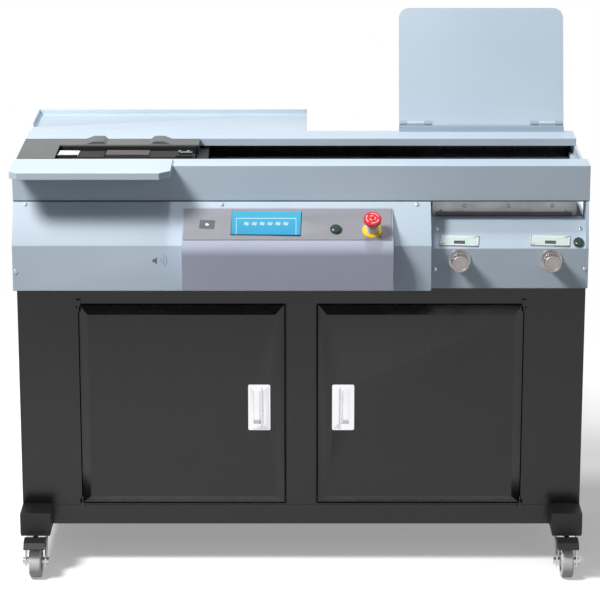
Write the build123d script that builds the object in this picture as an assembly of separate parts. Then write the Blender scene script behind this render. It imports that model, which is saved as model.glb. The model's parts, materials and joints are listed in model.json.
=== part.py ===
from build123d import *
import math
import os

# Perfect binding machine: a clamp carriage runs along two rods over a spine cutter, a glue tank
# and a nip station, inside a sheet-metal housing on a cabinet with casters.
# Millimetres. X to the right, Y to the back, Z up. While the pieces are made, Y = 0 is the front
# plane of the fascia and Z = 0 is the floor. Every piece is moved along Y when it is written, so
# that the origin is under the middle of the whole machine.

os.makedirs("parts", exist_ok=True)

# Common sizes
sheet = 3.0
running_clearance = 0.05
loose_clearance = 0.3
screw_head_radius = 4.0
screw_head_height = 2.5
overcut = 5.0

# Overall widths, heights and depths
body_width = 1290.0
fascia_overhang = 2.0
cabinet_width = body_width - 2 * fascia_overhang
caster_height = 100.0
outrigger_height = 50.0
cabinet_height = 540.0
deck_thickness = 8.0
works_height = 172.0
fascia_height = 82.0
carriage_proud = 2.0
cabinet_setback = 16.0
fascia_depth = 72.0
track_depth = 212.0
rail_depth = 86.0
rail_lip = 18.0
tray_depth = 196.0

half_body = body_width / 2
half_cabinet = cabinet_width / 2
floor_level = caster_height + outrigger_height
cabinet_top = floor_level + cabinet_height
deck_top = cabinet_top + deck_thickness
fascia_bottom = deck_top + works_height
fascia_top = fascia_bottom + fascia_height
track_level = fascia_top + carriage_proud
lip_bottom = track_level - rail_lip
rail_front = fascia_depth + track_depth
machine_back = rail_front + rail_depth
wall_inside = machine_back - sheet
tray_back = machine_back + tray_depth

# Cabinet
column_width = 137.0
post_width = 72.0
frame_depth = 40.0
top_rail_height = 61.0
door_gap = 2.5
door_edge_depth = 18.0
door_bevel = 20.0
door_raise = 15.0
door_skin = 2.0
hinge_pin_radius = 2.5
hinge_tab_radius = 5.0
hinge_tab_thickness = 3.0
hinge_inset = 1.0
hinge_forward = 2.0
hinge_lug_height = 12.0
hinge_lug_depth = 7.0
hinge_pin_reach = 16.0
handle_width = 50.5
handle_height = 109.0
handle_offset = 95.7
handle_drop = 1.8
handle_border = 4.0
handle_depth = 14.0
handle_wall = 2.0
handle_proud = 2.0
handle_corner = 4.0
grip_from_edge = 12.4
grip_floor_width = 13.0
grip_crest = 30.1
grip_end_inset = 15.3
dish_line = 35.3
dish_line_half = 0.4
dish_depth = 5.0
dish_border = 2.6
dish_run = 15.0

frame_back = cabinet_setback + frame_depth
door_top = cabinet_top - top_rail_height
opening_outer = half_cabinet - column_width
opening_inner = post_width / 2
door_front = cabinet_setback - door_raise
door_back = cabinet_setback + door_edge_depth
hinge_x = opening_outer - hinge_inset
hinge_y = cabinet_setback - hinge_forward
handle_level = (floor_level + door_top) / 2 - handle_drop

# Outriggers and casters
outrigger_width = 69.0
outrigger_overhang = 71.0
caster_inset = 35.0
caster_plate_length = 70.0
caster_plate_thickness = 4.0
wheel_radius = 37.5
wheel_width = 27.0
wheel_clearance = 3.0
caster_trail = 40.0
fork_side = 3.0
fork_gap = 7.5
spacer_radius = 9.0
spacer_clearance = 0.8
fork_top_thickness = 4.0
race_radius = 23.0
race_clearance = 0.3
swivel_pin_radius = 6.0
axle_radius = 5.0
axle_nut_radius = 8.0
axle_nut_length = 6.0
pedal_half_width = 24.0
pedal_lift = 5.0
pedal_pin_radius = 2.5
pedal_pin_back = 38.0

outrigger_x = half_cabinet - outrigger_width / 2
outrigger_front = cabinet_setback - outrigger_overhang
outrigger_back = machine_back + outrigger_overhang
front_caster_y = outrigger_front + caster_inset
rear_caster_y = outrigger_back - caster_inset
caster_plate_bottom = caster_height - caster_plate_thickness
fork_under = 2 * wheel_radius + wheel_clearance
fork_top = fork_under + fork_top_thickness
pedal_level = fork_top + pedal_lift
pedal_pin_z = pedal_level + 3.0

# Upper housing
end_plate = 6.0
flange_depth = 20.0
window_under_fascia = 12.0
window_front = fascia_depth - window_under_fascia
window_before_rail = 4.0
window_back = rail_front - window_before_rail
window_height = 57.0
nip_station_width = 347.0
cover_crease_y = -63.0
cover_crease_drop = 86.0
cover_shoulder = 5.0
cover_overlap = 10.0
cover_bottom = cabinet_top - cover_overlap
tray_inset = 5.5
tray_width = 650.5
tray_left = tray_inset - half_cabinet
tray_right = tray_left + tray_width
tray_lip = 13.0
tray_lip_gap = 41.0
tray_lip_front = machine_back + tray_lip_gap
bracket_thickness = 4.0
bracket_reach = 150.0
bracket_drop = 100.0
table_width = 355.0
table_overhang = 33.0
table_right = table_width - half_cabinet
table_front = cover_crease_y - table_overhang
table_rear_gap = 22.0
table_back = fascia_depth - table_rear_gap
table_thickness = 5.0
table_lip = 16.0
table_corner = 24.0
table_left_corner = 18.0

cover_crease_z = fascia_bottom - cover_crease_drop
plate_inside = half_cabinet - end_plate
cover_right = plate_inside - nip_station_width

# Control console
console_width = 468.0
console_to_nip = 86.0
console_right = cover_right - console_to_nip
console_left = console_right - console_width
console_reach = 42.0
console_front = cover_crease_y - console_reach
console_overlap = 6.0
console_bottom = deck_top - console_overlap
console_start = 11.0
console_drop = 70.1
console_round = 35.0
panel_thickness = 1.5
panel_top_margin = 4.0
panel_length = 89.0
panel_side_margin = 3.0
screen_inset = 186.3
screen_x = console_left + screen_inset
screen_along = 47.5
screen_width = 157.6
screen_height = 70.0
screen_proud = 3.0
screen_depth = 22.0
screen_flange = 5.0
screen_rear_along = 55.0
screen_rear_height = 44.0
console_opening_margin = 20.0
console_opening_share = 0.7
button_radius = 11.0
button_ring = 4.0
button_ring_height = 5.0
button_thickness = 7.0
button_travel = 3.0
button_gap = 0.5
button_proud = button_thickness + button_travel + button_gap
stem_radius = 6.0
stem_depth = 25.0
start_button_inset = 127.1
start_button_x = console_right - start_button_inset
start_button_along = 64.6
estop_inset = 46.9
estop_x = console_right - estop_inset
estop_along = 66.0
estop_disc_radius = 22.0
estop_collar_radius = 13.5
estop_collar_height = 20.5
estop_head_radius = 20.0
estop_head_height = 17.0
estop_travel = 5.0
estop_gap = 2.0
estop_head_base = panel_thickness + estop_collar_height + estop_travel + estop_gap

# Nip station and its cover
nip_cover_left = cover_right + 0.5
nip_cover_front = -25.0
nip_cover_overlap = 14.0
nip_cover_bottom = cabinet_top - nip_cover_overlap
nip_ledge_drop = 47.0
nip_ledge_front = 20.0
nip_ledge_back = 56.0
nip_ledge_flange = 17.0
nip_slope_drop = 55.0
knob_radius = 19.0
knob_length = 38.7
knob_flutes = 12
knob_flute_radius = 2.2
dial_radius = 25.0
dial_thickness = 3.0
spindle_radius = 5.0
counter_along = 52.6
counter_width = 90.0
counter_height = 27.6
counter_proud = 3.0
counter_window_width = 25.0
counter_window_height = 8.0
side_button_inset = 16.5
side_button_x = plate_inside - side_button_inset
side_button_along = 56.6
side_button_radius = 10.0
nip_line_depth = 118.0
nip_line_y = fascia_depth + nip_line_depth
nip_jaw_left_inset = 5.5
nip_jaw_right_inset = 14.0
nip_jaw_left = nip_cover_left + nip_jaw_left_inset
nip_jaw_right = plate_inside - nip_jaw_right_inset
nip_jaw_reach = 130.0
nip_jaw_wall = 15.0
nip_jaw_top_thickness = 14.0
nip_jaw_drop = 12.0
nip_jaw_top = fascia_bottom - nip_jaw_drop
nip_jaw_sole = 55.0
nip_jaw_travel = 25.0
closed_half_gap = 15.0
nip_half_gap = nip_jaw_travel + closed_half_gap
nip_lift_travel = 10.0
nip_jaw_height = 68.0
lift_plate_bottom = nip_jaw_top - nip_jaw_height
lift_plate_thickness = 12.0
lift_plate_left_inset = 9.0
lift_plate_right_reach = 2.0
lift_plate_left = nip_jaw_left + lift_plate_left_inset
lift_plate_right = nip_jaw_right + lift_plate_right_reach
lift_plate_half_depth = 118.0
lift_boss_radius = 18.0
lift_boss_drop = 24.0
post_radius = 10.0
post_inset = 20.0
post_reach = 94.0
post_reach_up = 10.0
post_top = lift_plate_bottom + post_reach_up
key_width = 8.0
key_height = 8.0
key_inset = 35.0
nip_base_thickness = 8.0
pedestal_half_width = 60.0
pedestal_half_depth = 20.0
spine_table_half_depth = 70.0
spine_table_thickness = 12.0
cylinder_radius = 25.0
cylinder_height = 70.0
piston_radius = 8.0
piston_depth = 45.0
spindle_bracket_width = 30.0
spindle_bracket_thickness = 6.0
spindle_bracket_gap = 6.0
spindle_bracket_y = nip_ledge_back + spindle_bracket_gap
spindle_bracket_rise = 18.0

cover_back = cabinet_setback - loose_clearance
ledge_level = fascia_bottom - nip_ledge_drop
nip_slope_bottom = ledge_level - nip_slope_drop
knob_drop = 26.0
knob_left_inset = 63.8
knob_right_inset = 77.6
counter_left_inset = 63.4
counter_right_inset = 79.2
knob_level = nip_slope_bottom - knob_drop
knob_left_x = nip_cover_left + knob_left_inset
knob_right_x = plate_inside - knob_right_inset
counter_left_x = nip_cover_left + counter_left_inset
counter_right_x = plate_inside - counter_right_inset
lift_plate_top = lift_plate_bottom + lift_plate_thickness

# Carriage and its clamp
rod_radius = 12.5
rod_drop = 61.0
rod_before_track = 22.0
rod_behind_track = 26.0
rod_level = track_level - rod_drop
front_rod_y = fascia_depth - rod_before_track
rear_rod_y = rail_front + rod_behind_track
rod_boss_radius = 22.0
rod_boss_length = 8.0
bearing_half = 22.0
beam_thickness = 16.0
beam_left_width = 66.0
beam_right_width = 26.0
carriage_plate_gap = 1.0
carriage_plate_width = 406.0
carriage_plate_left = carriage_plate_gap - half_cabinet
carriage_plate_right = carriage_plate_left + carriage_plate_width
carriage_plate_thickness = 5.0
carriage_edge_gap = 2.0
carriage_end_clearance = 3.0
riser_thickness = 10.0
jaw_left_inset = 90.0
jaw_right_inset = 6.0
jaw_left = carriage_plate_left + jaw_left_inset
jaw_right = carriage_plate_right - jaw_right_inset
jaw_over_nip = 14.0
jaw_bottom = nip_jaw_top + jaw_over_nip
jaw_thickness = 10.0
jaw_travel = 49.0
closed_jaw_gap = 1.0
jaw_opening = jaw_travel + closed_jaw_gap
rear_jaw_face = nip_line_y + jaw_opening / 2
rear_jaw_rib = 20.0
jaw_rod_radius = 6.0
jaw_rod_inset = 12.0
front_bar_depth = 60.0
front_bar_thickness = 8.0
crossbar_gap = 4.0
crossbar_y = fascia_depth + crossbar_gap
crossbar_depth = 12.0
arm_left = (jaw_left + 7.0, jaw_left + 105.0)
arm_right = (jaw_right - 105.0, jaw_right - 11.0)
arm_height = 7.0
jaw_end_left = (jaw_left + 1.0, jaw_left + 44.0)
jaw_end_right = (jaw_right - 43.0, jaw_right - 4.0)
jaw_end_thickness = 3.0
hump_height = 7.0
hump_left = (jaw_left + 52.0, jaw_left + 71.0, jaw_left + 95.0, jaw_left + 103.0)
hump_right = (jaw_right - 107.0, jaw_right - 98.0, jaw_right - 76.0, jaw_right - 58.0)
drive_depth = 30.0
drive_height = 30.0
drive_drop = 93.0
drive_bottom = rod_level - drive_drop
drive_slot_width = 10.0
drive_slot_depth = 12.0
drive_arm_thickness = 8.0
motor_box = 60.0

bearing_top = rod_level + bearing_half
beam_top = bearing_top + beam_thickness
plate_bottom = track_level - carriage_plate_thickness
beam_left_start = -plate_inside + rod_boss_length + carriage_end_clearance
beam_left_end = beam_left_start + beam_left_width
beam_right_start = carriage_plate_right - 4.0
beam_right_end = beam_right_start + beam_right_width
carriage_travel = plate_inside - rod_boss_length - carriage_end_clearance - beam_right_end
front_jaw_face = rear_jaw_face - jaw_opening
jaw_rod_level = beam_top - beam_thickness / 2
drive_back = wall_inside - sheet
drive_front = drive_back - drive_depth
drive_arm_y = (drive_front + drive_back) / 2

# Cutter, glue tank and rollers
cutter_x = -130.0
cutter_motor_radius = 60.0
cutter_shaft_radius = 10.0
cutter_shaft_seat = 26.0
cutter_disc_radius = 70.0
cutter_disc_thickness = 10.0
cutter_disc_drop = 26.0
cutter_disc_level = jaw_bottom - cutter_disc_drop
cutter_teeth = 8
cutter_tooth = 8.0
hood_radius = 80.0
hood_wall = 3.0
hood_drop = 6.0
hood_height = 80.0
hood_top = jaw_bottom - hood_drop
cutter_motor_height = hood_top - deck_top - hood_height
duct_radius = 37.0
duct_offset = 110.0
duct_drop = 130.0
duct_bottom = cabinet_top - duct_drop
tank_left = 0.0
tank_width = 200.0
tank_bottom_drop = 82.0
tank_top_drop = 20.0
roller_drop = 37.0
roller_inset = 60.0
roller_pitch = 80.0
tank_right = tank_left + tank_width
tank_wall = 4.0
tank_floor = 6.0
tank_bottom = jaw_bottom - tank_bottom_drop
tank_top = jaw_bottom - tank_top_drop
tank_leg = 12.0
roller_radius = 30.0
roller_level = jaw_bottom - roller_drop
roller_half_length = 70.0
roller_first_x = tank_left + roller_inset
roller_second_x = roller_first_x + roller_pitch
roller_shaft_radius = 8.0
roller_tank_clearance = 8.0
sprocket_radius = 20.0
sprocket_width = 8.0
sprocket_gap = 12.0
gearmotor_width = 70.0
gearmotor_depth = 36.0
gearmotor_height = 70.0
gearmotor_foot = 8.0

# Hinged panel at the back
lid_inset = 18.0
lid_width = 388.0
lid_right = plate_inside - lid_inset
lid_left = lid_right - lid_width
lid_length = 273.0
lid_thickness = 6.0
lid_corner = 24.0
lid_lean = 17.5
lid_foot = 4.4
band_height = 13.0
band_depth = 12.0
knuckle_radius = 5.0
knuckle_length = 40.0
knuckle_gap = 0.5
fixed_knuckle_length = 18.0
lid_pin_radius = 2.5
hinge_from_edge = 39.0

band_top = track_level + band_height
lid_axis_y = machine_back - band_depth / 2 + 6.0
lid_axis_z = band_top + knuckle_radius + knuckle_gap

# Cover screws
cover_screw_along = 6.0
cover_screw_inset = 33.0
cover_screw_places = (cover_screw_inset - half_cabinet, (cover_right - half_cabinet) / 2,
                      cover_right - cover_screw_inset)
slope_screw_inset = 13.5
slope_screw_along = 22.8
front_screw_inset = 7.5
front_screw_drop = 46.0

# Cabinet contents
bin_left = -450.0
bin_right = -120.0
bin_setback = 64.0
bin_front = cabinet_setback + bin_setback
bin_back_gap = 30.0
bin_back = machine_back - bin_back_gap
bin_height = 347.0
box_left = 150.0
box_right = 450.0
box_depth = 120.0
box_rise = 50.0
box_bottom = floor_level + box_rise
box_height = 350.0
box_wall = 2.0
inlet_inset = 103.0
inlet_rise = 80.0
inlet_x = half_cabinet - inlet_inset
inlet_level = floor_level + inlet_rise
inlet_width = 38.0
inlet_height = 28.0
inlet_depth = 25.0
inlet_wall = 4.0
inlet_flange = 9.0


def block(x0, x1, y0, y1, z0, z1):
    """A box between two opposite corners."""
    centre = ((x0 + x1) / 2, (y0 + y1) / 2, (z0 + z1) / 2)
    return Pos(*centre) * Box(x1 - x0, y1 - y0, z1 - z0)


def rod_x(radius, x0, x1, y, z):
    """A round bar along X."""
    return Pos((x0 + x1) / 2, y, z) * Rot(0, 90, 0) * Cylinder(radius, x1 - x0)


def rod_y(radius, y0, y1, x, z):
    """A round bar along Y."""
    return Pos(x, (y0 + y1) / 2, z) * Rot(90, 0, 0) * Cylinder(radius, y1 - y0)


def rod_z(radius, z0, z1, x, y):
    """A round bar along Z."""
    return Pos(x, y, (z0 + z1) / 2) * Cylinder(radius, z1 - z0)


def profile_x(points, x0, x1):
    """A closed Y-Z outline carried along X."""
    outline = Plane(origin=(x0, 0, 0), x_dir=(0, 1, 0), z_dir=(1, 0, 0)) * Polygon(*points, align=None)
    return extrude(outline, x1 - x0, dir=(1, 0, 0))


def profile_y(points, y0, y1):
    """A closed X-Z outline carried along Y."""
    outline = Plane(origin=(0, y0, 0), x_dir=(1, 0, 0), z_dir=(0, -1, 0)) * Polygon(*points, align=None)
    return extrude(outline, y1 - y0, dir=(0, 1, 0))


def profile_z(points, z0, z1):
    """A closed X-Y outline carried along Z."""
    outline = Plane(origin=(0, 0, z0)) * Polygon(*points, align=None)
    return extrude(outline, z1 - z0, dir=(0, 0, 1))


def offset_path(path, distance):
    """An open path moved to its left, with mitred corners."""
    normals = []
    for start, end in zip(path, path[1:]):
        run = math.dist(start, end)
        normals.append(((start[1] - end[1]) / run, (end[0] - start[0]) / run))
    moved = []
    for index, point in enumerate(path):
        before = normals[max(index - 1, 0)]
        after = normals[min(index, len(normals) - 1)]
        share = distance / (1 + before[0] * after[0] + before[1] * after[1])
        moved.append((point[0] + (before[0] + after[0]) * share, point[1] + (before[1] + after[1]) * share))
    return moved


def bent_sheet(path, x0, x1):
    """A folded sheet along X whose outer side follows a Y-Z path, with its thickness to the left."""
    return profile_x(path + offset_path(path, sheet)[::-1], x0, x1)


def slope_plane(top, bottom):
    """The plane of a sloping face: x to the right, y up the slope, z out of it; its origin is at the top."""
    run = math.dist(top, bottom)
    outward = (0, (bottom[1] - top[1]) / run, (top[0] - bottom[0]) / run)
    return Plane(origin=(0, top[0], top[1]), x_dir=(1, 0, 0), z_dir=outward)


def group(*solids):
    """Separate solids kept together as one named piece."""
    return Compound(children=list(solids))


console_top_y = -cover_shoulder - (console_start / cover_crease_drop) * (-cover_shoulder - cover_crease_y)
console_top_z = fascia_bottom - console_start
console_slope = slope_plane((console_top_y, console_top_z), (console_front, console_top_z - console_drop))
nip_slope = slope_plane((nip_ledge_front, ledge_level), (nip_cover_front, nip_slope_bottom))


# Base

def make_outriggers():
    """Two channels, open below, and the mounting plates of the four casters."""
    pieces = []
    for side in (-1, 1):
        x0 = side * outrigger_x - outrigger_width / 2
        x1 = side * outrigger_x + outrigger_width / 2
        outer = block(x0, x1, outrigger_front, outrigger_back, caster_height, floor_level)
        inner = block(x0 + sheet, x1 - sheet, outrigger_front + sheet, outrigger_back - sheet,
                      caster_height - overcut, floor_level - sheet)
        pieces.append(outer - inner)
        for y in (front_caster_y, rear_caster_y):
            plate = block(x0 + 1, x1 - 1, y - caster_plate_length / 2, y + caster_plate_length / 2,
                          caster_plate_bottom, caster_height)
            bore = rod_z(swivel_pin_radius + running_clearance, caster_plate_bottom - overcut,
                         caster_height + overcut, side * outrigger_x, y)
            pieces.append(plate - bore)
    return group(*pieces)


def make_fork(x, y, braked):
    """A caster fork with its swivel pin, race and axle; a braked one has a lug for the pedal."""
    leg_outline = [(y - 30, fork_top), (y + 24, fork_top), (y - caster_trail + 11, wheel_radius - 11),
                   (y - caster_trail - 10, wheel_radius - 11), (y - caster_trail - 11, wheel_radius + 8)]
    leg_inside = wheel_width / 2 + fork_gap
    fork = block(x - leg_inside - fork_side, x + leg_inside + fork_side, y - 30, y + 24, fork_under, fork_top)
    for side in (-1, 1):
        inner = x + side * leg_inside
        outer = x + side * (leg_inside + fork_side)
        fork += profile_x(leg_outline, min(inner, outer), max(inner, outer))
    fork += rod_z(race_radius, fork_top, caster_plate_bottom - race_clearance, x, y)
    fork += rod_z(swivel_pin_radius, fork_top, caster_height - 1, x, y)
    reach = leg_inside + fork_side + axle_nut_length
    fork += rod_x(axle_radius, x - reach, x + reach, y - caster_trail, wheel_radius)
    for side in (-1, 1):
        inner = x + side * (leg_inside + fork_side)
        outer = x + side * reach
        fork += rod_x(axle_nut_radius, min(inner, outer), max(inner, outer), y - caster_trail, wheel_radius)
        inner = x + side * (wheel_width / 2 + spacer_clearance)
        outer = x + side * leg_inside
        fork += rod_x(spacer_radius, min(inner, outer), max(inner, outer), y - caster_trail, wheel_radius)
    if braked:
        fork += block(x - 6, x + 6, y - pedal_pin_back - 4, y - 29, fork_under, caster_plate_bottom - 2)
        fork += rod_x(pedal_pin_radius, x - 18, x + 18, y - pedal_pin_back, pedal_pin_z)
    return fork


def make_wheel(x, y):
    """A solid wheel with rounded treads and a dished hub on each side."""
    axle_y = y - caster_trail
    wheel = rod_x(wheel_radius, x - wheel_width / 2, x + wheel_width / 2, axle_y, wheel_radius)
    wheel = fillet(wheel.edges().filter_by(GeomType.CIRCLE), 4)
    for side in (-1, 1):
        face = x + side * wheel_width / 2
        start = face - side * 4
        dish = rod_x(26, min(start, face + side), max(start, face + side), axle_y, wheel_radius)
        hub = rod_x(13, min(start, face), max(start, face), axle_y, wheel_radius)
        wheel = wheel - dish + hub
    bore = rod_x(axle_radius + running_clearance, x - wheel_width, x + wheel_width, axle_y, wheel_radius)
    return wheel - bore


def make_pedal(x, y):
    """The foot pedal over a front wheel."""
    level = pedal_level
    outline = [(y - 34, level + 0.5), (y - 34, level + 6), (y - 47, level + 7), (y - 51, level + 11),
               (y - 74, level + 6), (y - 84, level - 5), (y - 79, level - 9), (y - 56, level - 2),
               (y - 44, level - 2)]
    pedal = profile_x(outline, x - pedal_half_width, x + pedal_half_width)
    pedal -= block(x - 6.6, x + 6.6, y - 46, y, fork_under - overcut, floor_level)
    pedal -= rod_x(pedal_pin_radius + running_clearance, x - 18.4, x + 18.4, y - pedal_pin_back, pedal_pin_z)
    return pedal


# Cabinet

def channel(x0, x1, z0, z1):
    """A front frame member, folded from sheet and open at the back."""
    outer = block(x0, x1, cabinet_setback, frame_back, z0, z1)
    inner = block(x0 + sheet, x1 - sheet, cabinet_setback + sheet, frame_back + overcut, z0 + sheet, z1 - sheet)
    return outer - inner


def make_front_frame():
    """Columns, centre post and rails, and the pivot lugs of the doors."""
    pieces = [channel(-opening_inner, opening_inner, floor_level, door_top),
              channel(-opening_outer, opening_outer, door_top, cabinet_top),
              channel(-half_cabinet + outrigger_width, half_cabinet - outrigger_width, caster_height, floor_level)]
    for side in (-1, 1):
        column = channel(min(side * opening_outer, side * half_cabinet),
                         max(side * opening_outer, side * half_cabinet), floor_level, cabinet_top)
        relief = hinge_tab_radius + 0.6
        for level in (floor_level, door_top - 2 * relief):
            column -= rod_z(relief, level, level + 2 * relief, side * hinge_x, hinge_y)
        pieces.append(column)
        x = side * hinge_x
        low = floor_level + door_gap
        high = door_top - door_gap
        for tab, start in ((low, low - loose_clearance - hinge_lug_height), (high, high + loose_clearance)):
            lug = block(x - hinge_tab_radius, x + hinge_tab_radius, cabinet_setback - hinge_lug_depth,
                        cabinet_setback, start, start + hinge_lug_height)
            inward = 1 if tab == low else -1
            near = start + hinge_lug_height / 2
            far = tab + inward * hinge_pin_reach
            pieces.append(lug + rod_z(hinge_pin_radius, min(near, far), max(near, far), x, hinge_y))
    return group(*pieces)


def make_cabinet_walls():
    """Two side walls and the back wall, which runs up to the rear rail."""
    back = block(-half_cabinet, half_cabinet, wall_inside, machine_back, floor_level, track_level - sheet)
    back -= block(inlet_x - inlet_width / 2 - loose_clearance, inlet_x + inlet_width / 2 + loose_clearance,
                  wall_inside - overcut, machine_back + overcut,
                  inlet_level - inlet_height / 2 - loose_clearance, inlet_level + inlet_height / 2 + loose_clearance)
    left = block(-half_cabinet, -half_cabinet + sheet, frame_back, wall_inside, floor_level, cabinet_top)
    right = block(half_cabinet - sheet, half_cabinet, frame_back, wall_inside, floor_level, cabinet_top)
    return group(left, right, back)


def make_cabinet_floor():
    """The floor sheet on the outriggers, behind the front frame."""
    return block(-half_cabinet + sheet, half_cabinet - sheet, frame_back + loose_clearance, wall_inside,
                 floor_level, floor_level + sheet)


def raised_panel(x0, x1, z0, z1, front, back):
    """A box whose front is raised, with a sloping edge all round."""
    def rectangle(y, inset):
        plane = Plane(origin=((x0 + x1) / 2, y, (z0 + z1) / 2), x_dir=(1, 0, 0), z_dir=(0, 1, 0))
        return plane * Rectangle(x1 - x0 - 2 * inset, z1 - z0 - 2 * inset)
    raised = loft([rectangle(front, door_bevel), rectangle(front + door_raise, 0)])
    return raised + block(x0, x1, front + door_raise, back, z0, z1)


def make_door(side):
    """A door pan with its pivot tabs and the hole for its pull."""
    x0, x1 = sorted((side * (opening_inner + door_gap), side * (opening_outer - door_gap)))
    z0 = floor_level + door_gap
    z1 = door_top - door_gap
    outer = raised_panel(x0, x1, z0, z1, door_front, door_back)
    inner = raised_panel(x0 + door_skin, x1 - door_skin, z0 + door_skin, z1 - door_skin,
                         door_front + door_skin, door_back + overcut)
    door = outer - inner
    x = side * hinge_x
    edge = side * (opening_outer - door_gap - door_skin / 2)
    for level in (z0, z1 - hinge_tab_thickness):
        tab = rod_z(hinge_tab_radius, level, level + hinge_tab_thickness, x, hinge_y)
        neck = block(min(x, edge), max(x, edge), hinge_y, hinge_y + hinge_tab_radius,
                     level, level + hinge_tab_thickness)
        leaf = block(min(edge, edge - side * 30), max(edge, edge - side * 30), cabinet_setback, door_back,
                     level, level + hinge_tab_thickness)
        door += tab + neck + leaf
        door -= rod_z(hinge_pin_radius + running_clearance, level - overcut,
                      level + hinge_tab_thickness + overcut, x, hinge_y)
    cup = handle_cup_size(loose_clearance)
    door -= block(side * handle_offset - cup[0], side * handle_offset + cup[0], door_front - overcut,
                  door_back + overcut, handle_level - cup[1], handle_level + cup[1])
    return door


def handle_cup_size(extra):
    """Half the width and half the height of the cup behind a pull's border."""
    return (handle_width / 2 - handle_border + extra, handle_height / 2 - handle_border + extra)


def make_handle(side):
    """A flush pull: a proud plate with a grip slot on its hinge side and a sloping finger dish beside it."""
    front = door_front - handle_proud
    hinge_edge = side * (handle_offset + handle_width / 2)
    half_height = handle_height / 2

    def across(distance):
        return hinge_edge - side * distance

    def face(depth, start, end, inset):
        plane = Plane(origin=((across(start) + across(end)) / 2, front + depth, handle_level),
                      x_dir=(1, 0, 0), z_dir=(0, -1, 0))
        return plane * Rectangle(abs(end - start), 2 * (half_height - inset))

    plate_plane = Plane(origin=(side * handle_offset, door_front, handle_level), x_dir=(1, 0, 0), z_dir=(0, -1, 0))
    handle = extrude(plate_plane * RectangleRounded(handle_width, handle_height, handle_corner), handle_proud)
    cup_half_height = handle_cup_size(0)[1]
    floor_back = door_front + handle_depth
    dish_back = front + dish_depth + handle_wall
    grip_start = grip_from_edge - handle_wall
    for start, end, back in ((grip_start, dish_line, floor_back), (grip_start, handle_width - handle_border, dish_back)):
        x0, x1 = sorted((across(start), across(end)))
        handle += block(x0, x1, door_front, back, handle_level - cup_half_height, handle_level + cup_half_height)
    bottom = floor_back - handle_wall
    profile = Polyline((across(grip_from_edge), front - overcut), (across(grip_from_edge), bottom),
                       (across(grip_from_edge + grip_floor_width), bottom), (across(grip_crest), front - overcut),
                       close=True)
    slot_plane = Plane(origin=(0, 0, handle_level - half_height + grip_end_inset), x_dir=(1, 0, 0), z_dir=(0, 0, 1))
    handle -= extrude(slot_plane * make_face(profile), 2 * (half_height - grip_end_inset))
    dish = loft([face(0, grip_crest, handle_width - dish_border, dish_border),
                 face(dish_depth, dish_line - dish_line_half, dish_line + dish_line_half, dish_run)])
    return handle - dish


def make_deck_plate():
    """The plate over the cabinet that carries the works, with the hole for the chip duct."""
    deck = block(-half_cabinet, half_cabinet, cabinet_setback, wall_inside, cabinet_top, deck_top)
    return deck - rod_z(duct_radius + hood_wall + loose_clearance, cabinet_top - overcut, deck_top + overcut,
                        cutter_x - duct_offset, nip_line_y)


def make_chip_bin():
    outer = block(bin_left, bin_right, bin_front, bin_back, floor_level + sheet, floor_level + sheet + bin_height)
    inner = block(bin_left + sheet, bin_right - sheet, bin_front + sheet, bin_back - sheet,
                  floor_level + 2 * sheet, floor_level + bin_height + overcut + sheet)
    return outer - inner


def make_electrical_box():
    """A steel box on the back wall, with a lid in front."""
    front = wall_inside - box_depth
    outer = block(box_left, box_right, front + box_wall, wall_inside, box_bottom, box_bottom + box_height)
    inner = block(box_left + box_wall, box_right - box_wall, front, wall_inside - box_wall,
                  box_bottom + box_wall, box_bottom + box_height - box_wall)
    cover = block(box_left, box_right, front, front + box_wall, box_bottom, box_bottom + box_height)
    return group(outer - inner, cover)


def make_power_inlet():
    """The mains socket in the back wall, open to the back."""
    half_width = inlet_width / 2
    half_height = inlet_height / 2
    body = block(inlet_x - half_width, inlet_x + half_width, machine_back - inlet_depth, machine_back,
                 inlet_level - half_height, inlet_level + half_height)
    flange = block(inlet_x - half_width - inlet_flange, inlet_x + half_width + inlet_flange, machine_back,
                   machine_back + sheet, inlet_level - half_height - inlet_wall,
                   inlet_level + half_height + inlet_wall)
    recess = block(inlet_x - half_width + inlet_wall, inlet_x + half_width - inlet_wall,
                   machine_back - inlet_depth + inlet_wall, machine_back + overcut,
                   inlet_level - half_height + inlet_wall, inlet_level + half_height - inlet_wall)
    socket = body + flange - recess
    for offset in (-8, 0, 8):
        socket += block(inlet_x + offset - 1, inlet_x + offset + 1, machine_back - inlet_depth + inlet_wall,
                        machine_back - inlet_wall, inlet_level - 2, inlet_level + 2)
    return socket


# Upper housing

def make_end_plates():
    """The two end plates that hold the rods; the right one closes the nip cover and has a window."""
    left_outline = [(flange_depth, deck_top), (wall_inside, deck_top), (wall_inside, lip_bottom),
                    (flange_depth, lip_bottom)]
    right_outline = [(flange_depth, lip_bottom), (flange_depth, fascia_bottom), (-cover_shoulder, fascia_bottom),
                     (nip_cover_front, nip_slope_bottom), (nip_cover_front, nip_cover_bottom),
                     (cover_back, nip_cover_bottom), (cover_back, deck_top),
                     (wall_inside, deck_top), (wall_inside, lip_bottom)]
    left = profile_x(left_outline, -half_cabinet, -plate_inside)
    right = profile_x(right_outline, plate_inside, half_cabinet)
    right -= block(plate_inside - overcut, half_cabinet + overcut, window_front, window_back,
                   ledge_level, ledge_level + window_height)
    plates = []
    for side, plate in ((-1, left), (1, right)):
        for y in (front_rod_y, rear_rod_y):
            inner = side * (plate_inside - rod_boss_length)
            outer = side * plate_inside
            plate += rod_x(rod_boss_radius, min(inner, outer), max(inner, outer), y, rod_level)
        for y in (front_rod_y, rear_rod_y):
            plate -= rod_x(rod_radius, side * plate_inside - 20, side * plate_inside + 20, y, rod_level)
        plates.append(plate)
    return group(*plates)


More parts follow.
